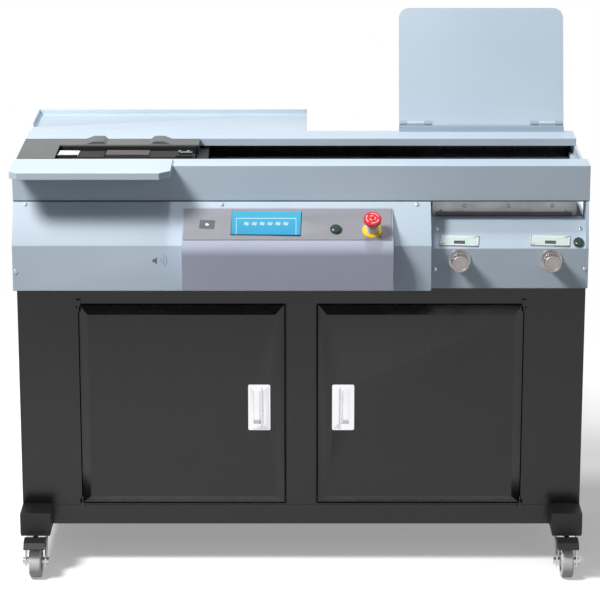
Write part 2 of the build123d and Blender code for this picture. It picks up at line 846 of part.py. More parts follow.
def make_front_fascia():
    path = [(flange_depth, fascia_bottom), (0, fascia_bottom), (0, fascia_top), (fascia_depth, fascia_top),
            (fascia_depth, lip_bottom)]
    return bent_sheet(path[::-1], -half_body, half_body)


def make_rear_rail():
    path = [(rail_front, lip_bottom), (rail_front, track_level), (machine_back, track_level)]
    return bent_sheet(path[::-1], -half_cabinet + 2, half_cabinet - 2)


def make_lower_front_cover():
    """The folded cover under the fascia, from the left end to the nip station."""
    path = [(cabinet_setback, fascia_bottom), (-cover_shoulder, fascia_bottom), (cover_crease_y, cover_crease_z),
            (cover_crease_y, cover_bottom), (cabinet_setback, cover_bottom)]
    cover = bent_sheet(path, -half_cabinet, cover_right)
    for start in (-half_cabinet, cover_right - sheet):
        cover += profile_x(path, start, start + sheet)
    return cover - console_back_opening()


def make_nip_station_cover():
    """The folded cover in front of the nip station, with the fixed dial rings of its knobs."""
    path = [(nip_ledge_back, ledge_level - nip_ledge_flange), (nip_ledge_back, ledge_level),
            (nip_ledge_front, ledge_level), (nip_cover_front, nip_slope_bottom),
            (nip_cover_front, nip_cover_bottom), (cover_back, nip_cover_bottom)]
    cover = bent_sheet(path, nip_cover_left, plate_inside)
    closure = path[1:] + [(cover_back, deck_top), (nip_ledge_back, deck_top)]
    cover += profile_x(closure, nip_cover_left, nip_cover_left + sheet)
    rings = []
    for x in (knob_left_x, knob_right_x):
        cover -= rod_y(spindle_radius + running_clearance, nip_cover_front - overcut,
                       nip_cover_front + 2 * overcut, x, knob_level)
        ring = rod_y(dial_radius, nip_cover_front - dial_thickness, nip_cover_front, x, knob_level)
        rings.append(ring - rod_y(spindle_radius + running_clearance, nip_cover_front - 2 * overcut,
                                  nip_cover_front + overcut, x, knob_level))
    bore = Cylinder(stem_radius + running_clearance, 8 * sheet)
    cover -= nip_slope * Pos(side_button_x, -side_button_along, 0) * bore
    bezel = button_bezel(side_button_radius, button_ring)
    rings.append(nip_slope * Pos(side_button_x, -side_button_along, 0) * bezel)
    return group(cover, *rings)


def make_loading_table():
    """The table over the left of the fascia, with a lip and cut corners in front."""
    left = -half_cabinet
    outline = [(left, table_back), (left, table_front + table_left_corner), (left + table_left_corner, table_front),
               (table_right - table_corner, table_front),
               (table_right, table_front + table_corner), (table_right, table_back)]
    table = profile_z(outline, fascia_top, fascia_top + table_thickness)
    skirt = profile_z(outline, fascia_top + table_thickness - table_lip, fascia_top)
    inner = [(left - overcut, table_back + overcut),
             (left - overcut, table_front + table_left_corner + 1.5 * sheet + overcut),
             (left + table_left_corner + sheet / 2, table_front + sheet),
             (table_right - table_corner - sheet / 2, table_front + sheet),
             (table_right - sheet, table_front + table_corner + sheet / 2), (table_right - sheet, table_back + overcut)]
    skirt -= profile_z(inner, lip_bottom - overcut, fascia_top + overcut)
    skirt -= block(left - overcut, table_right + overcut, -2 * loose_clearance, table_back + overcut,
                   lip_bottom - 2 * overcut, fascia_top + overcut)
    return table + skirt


def make_rear_tray():
    """The delivery tray behind the back wall, with its lips and brackets."""
    floor = block(tray_left, tray_right, machine_back, tray_back, track_level - sheet, track_level)
    floor += block(tray_left, tray_right, tray_back - sheet, tray_back, track_level - sheet, track_level + tray_lip)
    floor += block(tray_left, tray_left + sheet, tray_lip_front, tray_back, track_level - sheet,
                   track_level + tray_lip)
    pieces = [floor]
    for share in (0.06, 0.5, 0.94):
        x = tray_left + share * (tray_right - tray_left)
        outline = [(machine_back, track_level - sheet), (machine_back + bracket_reach, track_level - sheet),
                   (machine_back, track_level - sheet - bracket_drop)]
        pieces.append(profile_x(outline, x - bracket_thickness / 2, x + bracket_thickness / 2))
    return group(*pieces)


# Console

def make_control_console():
    """The closed console housing, with its rounded front edge and the holes for what it carries."""
    corner = (console_front, console_top_z - console_drop)
    outline = Polygon((console_top_y, console_top_z), corner, (console_front, console_bottom),
                      (cover_crease_y, console_bottom), (cover_crease_y, cover_crease_z), align=None)
    outline = fillet(outline.vertices().sort_by_distance((corner[0], corner[1], 0))[0], console_round)
    hollow = offset(outline, -sheet, kind=Kind.INTERSECTION)
    plane = Plane(origin=(console_left, 0, 0), x_dir=(0, 1, 0), z_dir=(1, 0, 0))
    width = console_right - console_left
    console = extrude(plane * outline, width, dir=(1, 0, 0))
    console -= Pos(sheet, 0, 0) * extrude(plane * hollow, width - 2 * sheet, dir=(1, 0, 0))
    return console - console_holes() - console_back_opening()


def console_back_opening():
    """What is cut out of the console's back and of the cover behind it, for the stems and the wiring."""
    share = console_opening_share
    path = [(cover_crease_y, console_bottom + console_opening_margin), (cover_crease_y, cover_crease_z),
            (cover_crease_y + share * (console_top_y - cover_crease_y),
             cover_crease_z + share * (console_top_z - cover_crease_z))]
    depth = 2 * sheet
    return profile_x(offset_path(path, depth) + offset_path(path, -depth)[::-1],
                     console_left + console_opening_margin, console_right - console_opening_margin)


def console_holes():
    """What passes through the sloping face: the back of the screen and the stems."""
    rear = Box(screen_width - 2 * screen_flange + 2 * loose_clearance,
               screen_rear_height + 2 * loose_clearance, 6 * sheet)
    holes = console_slope * Pos(screen_x, -screen_rear_along, 0) * rear
    for x, along in ((start_button_x, start_button_along), (estop_x, estop_along)):
        holes += console_slope * Pos(x, -along, 0) * Cylinder(stem_radius + running_clearance, 6 * sheet)
    return holes


def button_bezel(radius, ring):
    """The fixed ring round a push button, standing on the face it is set in."""
    height = button_ring_height
    outer = Pos(0, 0, height / 2) * Cylinder(radius + ring, height)
    return outer - Pos(0, 0, height / 2) * Cylinder(radius + loose_clearance, height * 2)


def make_control_panel():
    """The thin panel on the slope, and the ring of the start button."""
    left = console_left + panel_side_margin
    right = console_right - panel_side_margin
    middle = panel_top_margin + panel_length / 2
    plate = Box(right - left, panel_length, panel_thickness)
    plate = console_slope * Pos((left + right) / 2, -middle, panel_thickness / 2) * plate - console_holes()
    bezel = button_bezel(button_radius, button_ring)
    ring = console_slope * Pos(start_button_x, -start_button_along, panel_thickness) * bezel
    return group(plate, ring)


def make_touch_screen():
    """The flat screen on the panel, and the housing behind it."""
    front = Pos(0, -screen_along, panel_thickness + screen_proud / 2) * Box(screen_width, screen_height, screen_proud)
    depth = screen_depth + panel_thickness
    rear = Pos(0, -screen_rear_along, panel_thickness - depth / 2) * Box(screen_width - 2 * screen_flange,
                                                                         screen_rear_height, depth)
    return console_slope * Pos(screen_x, 0, 0) * (front + rear)


def make_estop_collar():
    """The flat disc under the emergency stop and the collar that guides its stem."""
    base = panel_thickness
    disc = Pos(0, 0, base + 0.75) * Cylinder(estop_disc_radius, 1.5)
    collar = Pos(0, 0, base + estop_collar_height / 2) * Cylinder(estop_collar_radius, estop_collar_height)
    bore = Cylinder(stem_radius + running_clearance, 10 * estop_collar_height)
    return console_slope * Pos(estop_x, -estop_along, 0) * (disc + collar - bore)


def make_estop_stem():
    top = estop_head_base + estop_head_height / 2
    stem = Pos(0, 0, (top - stem_depth) / 2) * Cylinder(stem_radius, top + stem_depth)
    return console_slope * Pos(estop_x, -estop_along, 0) * stem


def make_estop_head():
    """The mushroom head, which turns on its stem."""
    middle = estop_head_base + estop_head_height / 2
    head = Pos(0, 0, middle) * Cylinder(estop_head_radius, estop_head_height)
    head = fillet(head.edges().filter_by(GeomType.CIRCLE).sort_by(Axis.Z)[-1], 7)
    head = fillet(head.edges().filter_by(GeomType.CIRCLE).sort_by(Axis.Z)[0], 2.5)
    bore = Pos(0, 0, (middle + loose_clearance) / 2) * Cylinder(stem_radius + running_clearance,
                                                                middle + loose_clearance)
    return console_slope * Pos(estop_x, -estop_along, 0) * (head - bore)


def push_button(radius):
    """A push button with its stem, seated with room for its travel."""
    cap = Pos(0, 0, button_proud - button_thickness / 2) * Cylinder(radius, button_thickness)
    cap = fillet(cap.edges().filter_by(GeomType.CIRCLE).sort_by(Axis.Z)[-1], 1.5)
    base = button_proud - button_thickness
    return cap + Pos(0, 0, (base - stem_depth) / 2) * Cylinder(stem_radius, base + stem_depth)


def make_start_button():
    return console_slope * Pos(start_button_x, -start_button_along, panel_thickness) * push_button(button_radius)


def make_side_button():
    return nip_slope * Pos(side_button_x, -side_button_along, 0) * push_button(side_button_radius)


def make_counter_units():
    """Two flat counters on the nip cover's slope, each with its sunk window."""
    pieces = []
    for x in (counter_left_x, counter_right_x):
        plate = Pos(0, 0, counter_proud / 2) * Box(counter_width, counter_height, counter_proud)
        window = Pos(0, -3.5, counter_proud) * Box(counter_window_width, counter_window_height, counter_proud)
        pieces.append(nip_slope * Pos(x, -counter_along, 0) * (plate - window))
    return group(*pieces)


def make_knob(x):
    """A fluted adjusting knob with its spindle."""
    front = nip_cover_front - dial_thickness - loose_clearance
    knob = rod_y(knob_radius, front - knob_length, front, x, knob_level)
    knob = chamfer(knob.edges().filter_by(GeomType.CIRCLE).sort_by(Axis.Y)[0], 2.5)
    for index in range(knob_flutes):
        angle = 2 * math.pi * index / knob_flutes
        reach = knob_radius + knob_flute_radius / 3
        knob -= rod_y(knob_flute_radius, front - knob_length - overcut, front - 8,
                      x + reach * math.cos(angle), knob_level + reach * math.sin(angle))
    back = spindle_bracket_y + spindle_bracket_thickness
    return knob + rod_y(spindle_radius, front - 1, back, x, knob_level)


# Nip station

def make_nip_base():
    """The base plate with guide posts and lifting cylinder, and the brackets of the knob spindles."""
    front = nip_line_y - lift_plate_half_depth + 4
    back = nip_line_y + lift_plate_half_depth
    top = deck_top + nip_base_thickness
    pieces = [block(lift_plate_left, lift_plate_right, front, back, deck_top, top)]
    for x in (lift_plate_left + post_inset, lift_plate_right - post_inset):
        for y in (nip_line_y - post_reach, nip_line_y + post_reach):
            pieces.append(rod_z(post_radius, top, post_top, x, y))
    middle = (lift_plate_left + lift_plate_right) / 2
    cylinder = rod_z(cylinder_radius, top, top + cylinder_height, middle, nip_line_y)
    bore_bottom = lift_plate_bottom - piston_depth - nip_lift_travel
    cylinder -= rod_z(piston_radius + running_clearance, bore_bottom, top + cylinder_height + overcut,
                      middle, nip_line_y)
    pieces.append(cylinder)
    for x in (knob_left_x, knob_right_x):
        bracket = block(x - spindle_bracket_width / 2, x + spindle_bracket_width / 2, spindle_bracket_y,
                        spindle_bracket_y + spindle_bracket_thickness, deck_top,
                        knob_level + spindle_bracket_rise)
        bracket -= rod_y(spindle_radius + running_clearance, spindle_bracket_y - overcut,
                         spindle_bracket_y + spindle_bracket_thickness + overcut, x, knob_level)
        pieces.append(bracket)
    return group(*pieces)


def make_nip_table():
    """The lifting plate with its guide bosses, keys and piston, and the table under the spine."""
    front = nip_line_y - lift_plate_half_depth
    back = nip_line_y + lift_plate_half_depth
    lift = block(lift_plate_left, lift_plate_right, front, back, lift_plate_bottom, lift_plate_top)
    for x in (lift_plate_left + post_inset, lift_plate_right - post_inset):
        for y in (nip_line_y - post_reach, nip_line_y + post_reach):
            lift += rod_z(lift_boss_radius, lift_plate_bottom - lift_boss_drop, lift_plate_bottom, x, y)
            lift -= rod_z(post_radius + running_clearance, lift_plate_bottom - lift_boss_drop - overcut,
                          lift_plate_top + overcut, x, y)
    for x in (nip_jaw_left + key_inset, nip_jaw_right - key_inset):
        lift += block(x - key_width / 2, x + key_width / 2, front + 10, back - 10, lift_plate_top,
                      lift_plate_top + key_height)
    middle = (lift_plate_left + lift_plate_right) / 2
    lift += rod_z(piston_radius, lift_plate_bottom - piston_depth, lift_plate_bottom, middle, nip_line_y)
    table_top = nip_jaw_top - nip_jaw_top_thickness - 0.5
    pedestal = block(middle - pedestal_half_width, middle + pedestal_half_width, nip_line_y - pedestal_half_depth,
                     nip_line_y + pedestal_half_depth, lift_plate_top, table_top - spine_table_thickness)
    top = block(nip_jaw_left + 4, nip_jaw_right - 3, nip_line_y - spine_table_half_depth,
                nip_line_y + spine_table_half_depth, table_top - spine_table_thickness, table_top)
    return group(lift, pedestal + top)


def make_nip_jaw(side):
    """One nip jaw: a front bar, its top plate and two soles that slide on the keys."""
    def span(near, far):
        return sorted((nip_line_y + side * near, nip_line_y + side * far))
    under = lift_plate_top + loose_clearance
    y0, y1 = span(nip_jaw_reach - nip_jaw_wall, nip_jaw_reach)
    jaw = block(nip_jaw_left, nip_jaw_right, y0, y1, under, nip_jaw_top)
    y0, y1 = span(nip_half_gap, nip_jaw_reach)
    jaw += block(nip_jaw_left, nip_jaw_right, y0, y1, nip_jaw_top - nip_jaw_top_thickness, nip_jaw_top)
    y0, y1 = span(nip_jaw_reach - nip_jaw_wall - nip_jaw_sole, nip_jaw_reach)
    for x in (nip_jaw_left + key_inset, nip_jaw_right - key_inset):
        jaw += block(x - 2 * key_width, x + 2 * key_width, y0, y1, under, under + 2.4 * key_height)
    for x in (nip_jaw_left + key_inset, nip_jaw_right - key_inset):
        half = key_width / 2 + loose_clearance
        jaw -= block(x - half, x + half, y0 - overcut, y1 + overcut, under - overcut,
                     lift_plate_top + key_height + loose_clearance)
    return jaw


# Carriage

def make_guide_rods():
    rods = [rod_x(rod_radius, -half_cabinet + 1, half_cabinet - 1, y, rod_level)
            for y in (front_rod_y, rear_rod_y)]
    return group(*rods)


def make_carriage_plate():
    """The plate that shows in the slot, with two humps on its rear strip."""
    front = fascia_depth + carriage_edge_gap
    back = rail_front - carriage_edge_gap
    inner = jaw_left - 4
    outline = [(carriage_plate_left, front), (inner, front), (inner, rear_jaw_face),
               (carriage_plate_right, rear_jaw_face), (carriage_plate_right, back), (carriage_plate_left, back)]
    plate = profile_z(outline, plate_bottom, track_level)
    for hump in (hump_left, hump_right):
        points = [(hump[0], track_level), (hump[1], track_level + hump_height),
                  (hump[2], track_level + hump_height), (hump[3], track_level)]
        plate += profile_y(points, rear_jaw_face + 3, back)
    return plate


def make_carriage_frame():
    """Bearing blocks, beams, risers and crossbar of the carriage, and the arm down to its drive."""
    arm_back = drive_arm_y + drive_arm_thickness / 2
    left = block(beam_left_start, beam_left_end, front_rod_y - bearing_half, rear_rod_y + bearing_half,
                 bearing_top, beam_top)
    right = block(beam_right_start, beam_right_end, front_rod_y - bearing_half, arm_back, bearing_top, beam_top)
    frame = left + right
    frame += block(beam_left_end, beam_right_start, crossbar_y, crossbar_y + crossbar_depth, bearing_top, beam_top)
    for start, end in ((beam_left_start, beam_left_end), (beam_right_start, beam_right_end)):
        for y in (front_rod_y, rear_rod_y):
            frame += block(start, end, y - bearing_half, y + bearing_half, rod_level - bearing_half, bearing_top)
            frame -= rod_x(rod_radius + running_clearance, start - overcut, end + overcut, y, rod_level)
    front = fascia_depth + 2 * carriage_edge_gap
    back = rail_front - 2 * carriage_edge_gap
    for start in (beam_left_start, beam_left_end - riser_thickness):
        frame += block(start, start + riser_thickness, front, back, beam_top, plate_bottom)
    frame += block(beam_right_start, carriage_plate_right, rear_jaw_face + carriage_edge_gap, back,
                   beam_top, plate_bottom)
    slot_bottom = drive_bottom + drive_height - drive_slot_depth
    frame += block(beam_right_start, beam_right_end, arm_back - drive_arm_thickness, arm_back,
                   slot_bottom + 2, bearing_top)
    rods = [rod_y(jaw_rod_radius, crossbar_y + crossbar_depth, rear_jaw_face, x, jaw_rod_level)
            for x in (jaw_left + jaw_rod_inset, jaw_right - jaw_rod_inset)]
    return group(frame, *rods)


def make_clamp_rear_jaw():
    """The fixed jaw, hung under the carriage plate and braced between the beams."""
    jaw = block(jaw_left, jaw_right, rear_jaw_face, rear_jaw_face + jaw_thickness, jaw_bottom, plate_bottom)
    return jaw + block(beam_left_end, beam_right_start, rear_jaw_face + jaw_thickness,
                       rear_jaw_face + jaw_thickness + rear_jaw_rib, bearing_top, plate_bottom)


def make_clamp_front_jaw():
    """The moving jaw with its bar, arm blocks and end plates; it slides on two rods."""
    bar_bottom = beam_top + 4
    bar_top = bar_bottom + front_bar_thickness
    bar_front = front_jaw_face - jaw_thickness - front_bar_depth
    jaw = block(jaw_left, jaw_right, front_jaw_face - jaw_thickness, front_jaw_face, jaw_bottom, bar_top)
    jaw += block(jaw_left, jaw_right, bar_front, front_jaw_face, bar_bottom, bar_top)
    for start, end in (arm_left, arm_right):
        jaw += block(start, end, bar_front + 2, front_jaw_face, bar_top, bar_top + arm_height)
    jaw += block(arm_left[1], arm_right[0], bar_front + 4, front_jaw_face - 4, bar_top, bar_top + arm_height / 2)
    for x in (jaw_left + jaw_rod_inset, jaw_right - jaw_rod_inset):
        jaw -= rod_y(jaw_rod_radius + running_clearance, bar_front, front_jaw_face + overcut, x, jaw_rod_level)
    ends = []
    for start, end in (jaw_end_left, jaw_end_right):
        ends.append(block(start, end, bar_front + 6, bar_front + 34, bar_top + arm_height,
                          bar_top + arm_height + jaw_end_thickness))
    return group(jaw, *ends)


def make_linear_drive():
    """The slotted belt drive profile behind the works, seated between the end plates."""
    top = drive_bottom + drive_height
    profile = block(-plate_inside, plate_inside, drive_front, drive_back, drive_bottom, top)
    half = drive_slot_width / 2
    return profile - block(-plate_inside + 60, plate_inside - 5, drive_arm_y - half, drive_arm_y + half,
                           top - drive_slot_depth, top + overcut)


def make_drive_motor():
    """The gearbox under the drive's left end, and its motor."""
    left = -plate_inside + 8
    gearbox = block(left, left + motor_box, drive_front - 6, drive_back, drive_bottom - motor_box, drive_bottom)
    x = left + motor_box / 2
    y = (drive_front - 6 + drive_back) / 2
    return gearbox + rod_z(17, deck_top, drive_bottom - motor_box, x, y)


# Cutter and glue

def make_cutter_motor():
    """The cutter motor on the deck, and the hood with its chip duct on top of it."""
    motor_top = deck_top + cutter_motor_height
    motor = rod_z(cutter_motor_radius, deck_top, motor_top, cutter_x, nip_line_y)
    motor -= rod_z(cutter_shaft_radius + running_clearance, motor_top - cutter_shaft_seat, motor_top + overcut,
                   cutter_x, nip_line_y)
    duct_x = cutter_x - duct_offset
    hood = rod_z(hood_radius + hood_wall, motor_top, hood_top, cutter_x, nip_line_y)
    hood += rod_z(duct_radius + hood_wall, duct_bottom, hood_top, duct_x, nip_line_y)
    hood -= rod_z(hood_radius, motor_top + hood_wall, hood_top + overcut, cutter_x, nip_line_y)
    hood -= rod_z(duct_radius, duct_bottom - overcut, hood_top - hood_wall, duct_x, nip_line_y)
    hood -= rod_z(cutter_shaft_radius + hood_wall, motor_top - overcut, hood_top, cutter_x, nip_line_y)
    return group(motor, hood)


def make_cutter_disc():
    """The toothed disc, its hub and its shaft."""
    motor_top = deck_top + cutter_motor_height
    disc_top = cutter_disc_level + cutter_disc_thickness
    cutter = rod_z(cutter_shaft_radius, motor_top - cutter_shaft_seat + 0.5, cutter_disc_level, cutter_x, nip_line_y)
    cutter += rod_z(cutter_disc_radius, cutter_disc_level, disc_top, cutter_x, nip_line_y)
    cutter += rod_z(2.5 * cutter_shaft_radius, cutter_disc_level - 8, cutter_disc_level, cutter_x, nip_line_y)
    for index in range(cutter_teeth):
        tooth = Pos(cutter_disc_radius - cutter_tooth, 0, 0) * Box(cutter_tooth, cutter_tooth, cutter_tooth)
        turned = Rot(0, 0, 360 * index / cutter_teeth) * tooth
        cutter += Pos(cutter_x, nip_line_y, disc_top + cutter_tooth / 2) * turned
    return cutter


def make_glue_tank():
    """The open tank on its four legs, with bearings for the roller shafts in its end walls."""
    front = nip_line_y - roller_half_length - roller_tank_clearance
    back = nip_line_y + roller_half_length + roller_tank_clearance
    tank = block(tank_left, tank_right, front, back, tank_bottom, tank_top)
    tank -= block(tank_left + tank_wall, tank_right - tank_wall, front + tank_wall, back - tank_wall,
                  tank_bottom + tank_floor, tank_top + overcut)
    for x in (tank_left, tank_right - tank_leg):
        for y in (front, back - tank_leg):
            tank += block(x, x + tank_leg, y, y + tank_leg, deck_top, tank_bottom)
    for x in (roller_first_x, roller_second_x):
        tank -= rod_y(roller_shaft_radius + running_clearance, front - overcut, back + overcut, x, roller_level)
    return tank


def make_glue_roller(x):
    """A glue roller with its shaft and the sprocket at the back."""
    back = nip_line_y + roller_half_length + roller_tank_clearance
    roller = rod_y(roller_radius, nip_line_y - roller_half_length, nip_line_y + roller_half_length, x, roller_level)
    front = nip_line_y - roller_half_length - roller_tank_clearance - 4
    roller += rod_y(roller_shaft_radius, front, back + sprocket_gap + 3 * sprocket_width, x, roller_level)
    return roller + rod_y(sprocket_radius, back + sprocket_gap, back + sprocket_gap + sprocket_width, x, roller_level)


def make_roller_motor():
    """The gearmotor of the rollers on its foot, with a bearing for each shaft end."""
    front = nip_line_y + roller_half_length + roller_tank_clearance + sprocket_gap + sprocket_width + 4
    back = front + gearmotor_depth
    half = gearmotor_width / 2
    body = block(roller_first_x - half, roller_second_x + half / 2, front, back,
                 roller_level - gearmotor_height / 2, roller_level + gearmotor_height / 2 - 10)
    body += block(roller_first_x - half / 2, roller_second_x, front, back - gearmotor_foot, deck_top,
                  roller_level - gearmotor_height / 2)
    body += block(roller_first_x - half, roller_second_x + half / 2, front, back, deck_top, deck_top + gearmotor_foot)
    for x in (roller_first_x, roller_second_x):
        body -= rod_y(roller_shaft_radius + running_clearance, front - overcut, front + 16, x, roller_level)
    return body


# Hinged panel

def lid_knuckle_centres():
    return (lid_left + hinge_from_edge, lid_right - hinge_from_edge)


def make_lid_bracket():
    """The band on the rear rail, with the fixed knuckles and pins of the hinge."""
    band = block(lid_left, lid_right, machine_back - band_depth, machine_back, track_level, band_top)
    for x in lid_knuckle_centres():
        inner = knuckle_length / 2 + knuckle_gap
        outer = inner + fixed_knuckle_length
        for side in (-1, 1):
            start, end = sorted((x + side * inner, x + side * outer))
            band += rod_x(knuckle_radius, start, end, lid_axis_y, lid_axis_z)
            band += block(start, end, machine_back - band_depth / 4, lid_axis_y + 1, band_top, lid_axis_z)
        band += rod_x(lid_pin_radius, x - outer, x + outer, lid_axis_y, lid_axis_z)
    return band


def make_lid():
    """The hinged panel, leaning back; its foot reaches down between the fixed knuckles of the band."""
    width = lid_right - lid_left
    height = lid_length + lid_foot
    plane = Plane(origin=(0, lid_thickness / 2, height / 2 - lid_foot), x_dir=(1, 0, 0), z_dir=(0, -1, 0))
    outline = Rectangle(width, height)
    outline = fillet(outline.vertices().group_by(Axis.Y)[-1], lid_corner)
    lid = extrude(plane * outline, lid_thickness)
    middle = (lid_left + lid_right) / 2
    inner = knuckle_length / 2
    outer = inner + fixed_knuckle_length + 2 * knuckle_gap
    for x in lid_knuckle_centres():
        offset_x = x - middle
        lid += rod_x(knuckle_radius, offset_x - inner, offset_x + inner, 0, 0)
        for start, end in ((offset_x - outer, offset_x - inner), (offset_x + inner, offset_x + outer)):
            lid -= rod_x(knuckle_radius + knuckle_gap, start, end, 0, 0)
        lid -= rod_x(lid_pin_radius + running_clearance, offset_x - outer, offset_x + outer, 0, 0)
    return Pos(middle, lid_axis_y, lid_axis_z) * Rot(-lid_lean, 0, 0) * lid


# Fasteners

def make_cover_screws():
    """The visible screw heads of the covers, each seated on its sheet."""
    head = Pos(0, 0, screw_head_height / 2) * Cylinder(screw_head_radius, screw_head_height)
    cover_slope = slope_plane((-cover_shoulder, fascia_bottom), (cover_crease_y, cover_crease_z))
    heads = [cover_slope * Pos(x, -cover_screw_along, 0) * head for x in cover_screw_places]
    for x in (nip_cover_left + slope_screw_inset, plate_inside - slope_screw_inset):
        heads.append(nip_slope * Pos(x, -slope_screw_along, 0) * head)
    front = Plane(origin=(0, nip_cover_front, 0), x_dir=(1, 0, 0), z_dir=(0, -1, 0))
    for x in (nip_cover_left + front_screw_inset, plate_inside - front_screw_inset):
        heads.append(front * Pos(x, nip_slope_bottom - front_screw_drop, 0) * head)
    return group(*heads)


caster_places = {"front_left": (-outrigger_x, front_caster_y), "front_right": (outrigger_x, front_caster_y),
                 "rear_left": (-outrigger_x, rear_caster_y), "rear_right": (outrigger_x, rear_caster_y)}

pieces = {
    "outriggers": make_outriggers(),
    "cabinet_floor": make_cabinet_floor(),
    "cabinet_front_frame": make_front_frame(),
    "cabinet_walls": make_cabinet_walls(),
    "deck_plate": make_deck_plate(),
    "end_plates": make_end_plates(),
    "front_fascia": make_front_fascia(),
    "lower_front_cover": make_lower_front_cover(),
    "control_console": make_control_console(),
    "control_panel": make_control_panel(),
    "touch_screen": make_touch_screen(),
    "estop_collar": make_estop_collar(),
    "loading_table": make_loading_table(),
    "rear_rail": make_rear_rail(),
    "rear_tray": make_rear_tray(),
    "nip_station_cover": make_nip_station_cover(),
    "counter_units": make_counter_units(),
    "guide_rods": make_guide_rods(),
    "cutter_motor": make_cutter_motor(),
    "glue_tank": make_glue_tank(),
    "roller_motor": make_roller_motor(),
    "nip_base": make_nip_base(),
    "lid_bracket": make_lid_bracket(),
    "chip_bin": make_chip_bin(),
    "electrical_box": make_electrical_box(),
    "power_inlet": make_power_inlet(),
    "linear_drive": make_linear_drive(),
    "drive_motor": make_drive_motor(),
    "cover_screws": make_cover_screws(),
    "left_door": make_door(-1),
    "left_door_handle": make_handle(-1),
    "right_door": make_door(1),
    "right_door_handle": make_handle(1),
    "estop_stem": make_estop_stem(),
    "estop_head": make_estop_head(),
    "start_button": make_start_button(),
    "side_button": make_side_button(),
    "left_knob": make_knob(knob_left_x),
    "right_knob": make_knob(knob_right_x),
    "carriage_plate": make_carriage_plate(),
    "carriage_frame": make_carriage_frame(),
    "clamp_rear_jaw": make_clamp_rear_jaw(),
    "clamp_front_jaw": make_clamp_front_jaw(),
    "cutter_disc": make_cutter_disc(),
    "first_glue_roller": make_glue_roller(roller_first_x),
    "second_glue_roller": make_glue_roller(roller_second_x),
    "nip_table": make_nip_table(),
    "nip_front_jaw": make_nip_jaw(-1),
    "nip_rear_jaw": make_nip_jaw(1),
    "lid": make_lid(),
}
for name, (x, y) in caster_places.items():
    pieces[name + "_fork"] = make_fork(x, y, name.startswith("front"))
    pieces[name + "_wheel"] = make_wheel(x, y)
    if name.startswith("front"):
        pieces[name + "_pedal"] = make_pedal(x, y)

# The origin goes under the middle of the machine, from its foremost to its rearmost point.
boxes = [piece.bounding_box() for piece in pieces.values()]
middle_y = (min(box.min.Y for box in boxes) + max(box.max.Y for box in boxes)) / 2

for name, piece in pieces.items():
    moved = [Pos(0, -middle_y, 0) * solid for solid in piece.solids()]
    export_step(group(*moved) if len(moved) > 1 else moved[0], f"parts/{name}.step")
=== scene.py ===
"""Looks of the perfect binding machine, laid out as a Blender add-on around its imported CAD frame.

Lengths are millimetres in the machine's own axes: x to the right, y to the back from the fascia's
front plane, z up from the floor. The last step of every mesh turns them into metres in the frame.
"""

import json
import math

import bmesh
import bpy
import numpy as np
from bpy.props import FloatProperty, IntProperty, PointerProperty, StringProperty
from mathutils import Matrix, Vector


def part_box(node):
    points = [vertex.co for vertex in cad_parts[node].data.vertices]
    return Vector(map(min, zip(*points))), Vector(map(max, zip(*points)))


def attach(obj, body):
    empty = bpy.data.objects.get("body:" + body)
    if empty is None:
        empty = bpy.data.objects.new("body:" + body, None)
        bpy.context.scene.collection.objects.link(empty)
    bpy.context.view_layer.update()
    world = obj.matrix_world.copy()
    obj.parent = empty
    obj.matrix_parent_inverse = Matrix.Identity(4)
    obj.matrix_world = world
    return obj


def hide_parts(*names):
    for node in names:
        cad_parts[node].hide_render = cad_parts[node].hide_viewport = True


bl_info = {
    "name": "Perfect binding machine",
    "version": (1, 0, 0),
    "blender": (4, 5, 0),
    "location": "3D View > Sidebar > Binder",
    "description": "Dresses the binding machine's frame with its sheet metal, controls and casters",
    "category": "Object",
}

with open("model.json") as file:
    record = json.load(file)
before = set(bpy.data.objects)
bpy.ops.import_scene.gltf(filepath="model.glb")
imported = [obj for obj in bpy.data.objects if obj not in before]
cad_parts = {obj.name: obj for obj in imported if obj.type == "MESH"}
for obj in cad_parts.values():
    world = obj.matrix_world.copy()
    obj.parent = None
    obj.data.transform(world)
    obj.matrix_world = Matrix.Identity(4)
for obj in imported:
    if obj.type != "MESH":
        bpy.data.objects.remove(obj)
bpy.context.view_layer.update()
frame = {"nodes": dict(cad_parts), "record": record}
nodes = frame["nodes"]

MM = 0.001
# The fascia's front plane is where the machine's own y starts.
FASCIA_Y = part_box("front_fascia")[0].y / MM
NODE_SLOTS = {part["node"]: part["material_slot"] for part in frame["record"]["subparts"]}
BODIES = frame["record"]["behaviour"]["bodies"]
NODE_BODIES = {name: body for body, names in BODIES.items() for name in names}

# In metres: points nearer than the first are one point, and edges shorter than the second are none
MERGE_DISTANCE = 2e-6
SHORTEST_EDGE = 1e-6
FOLD_ANGLE = math.radians(25)
FLAT_ANGLE = math.radians(0.5)
# A ring that stands on a face: how far its foot and its top reach from that face, in millimetres
RING_FOOT = 0.3
RING_TOP = 8.0


# Colours and nodes

def linear(hex_colour):
    """Turns an sRGB hex colour into linear red, green, blue and alpha."""
    value = hex_colour.lstrip("#")
    channels = np.array([int(value[i:i + 2], 16) for i in (0, 2, 4)]) / 255.0
    low = channels / 12.92
    high = ((channels + 0.055) / 1.055) ** 2.4
    return (*np.where(channels <= 0.04045, low, high), 1.0)


def add_node(tree, kind, inputs=None, **settings):
    """Adds one shader node; an input is a value, or the output of another node, which is linked."""
    made = tree.nodes.new(kind)
    for key, value in settings.items():
        setattr(made, key, value)
    for key, value in (inputs or {}).items():
        if isinstance(value, bpy.types.NodeSocket):
            tree.links.new(value, made.inputs[key])
        else:
            made.inputs[key].default_value = value
    return made


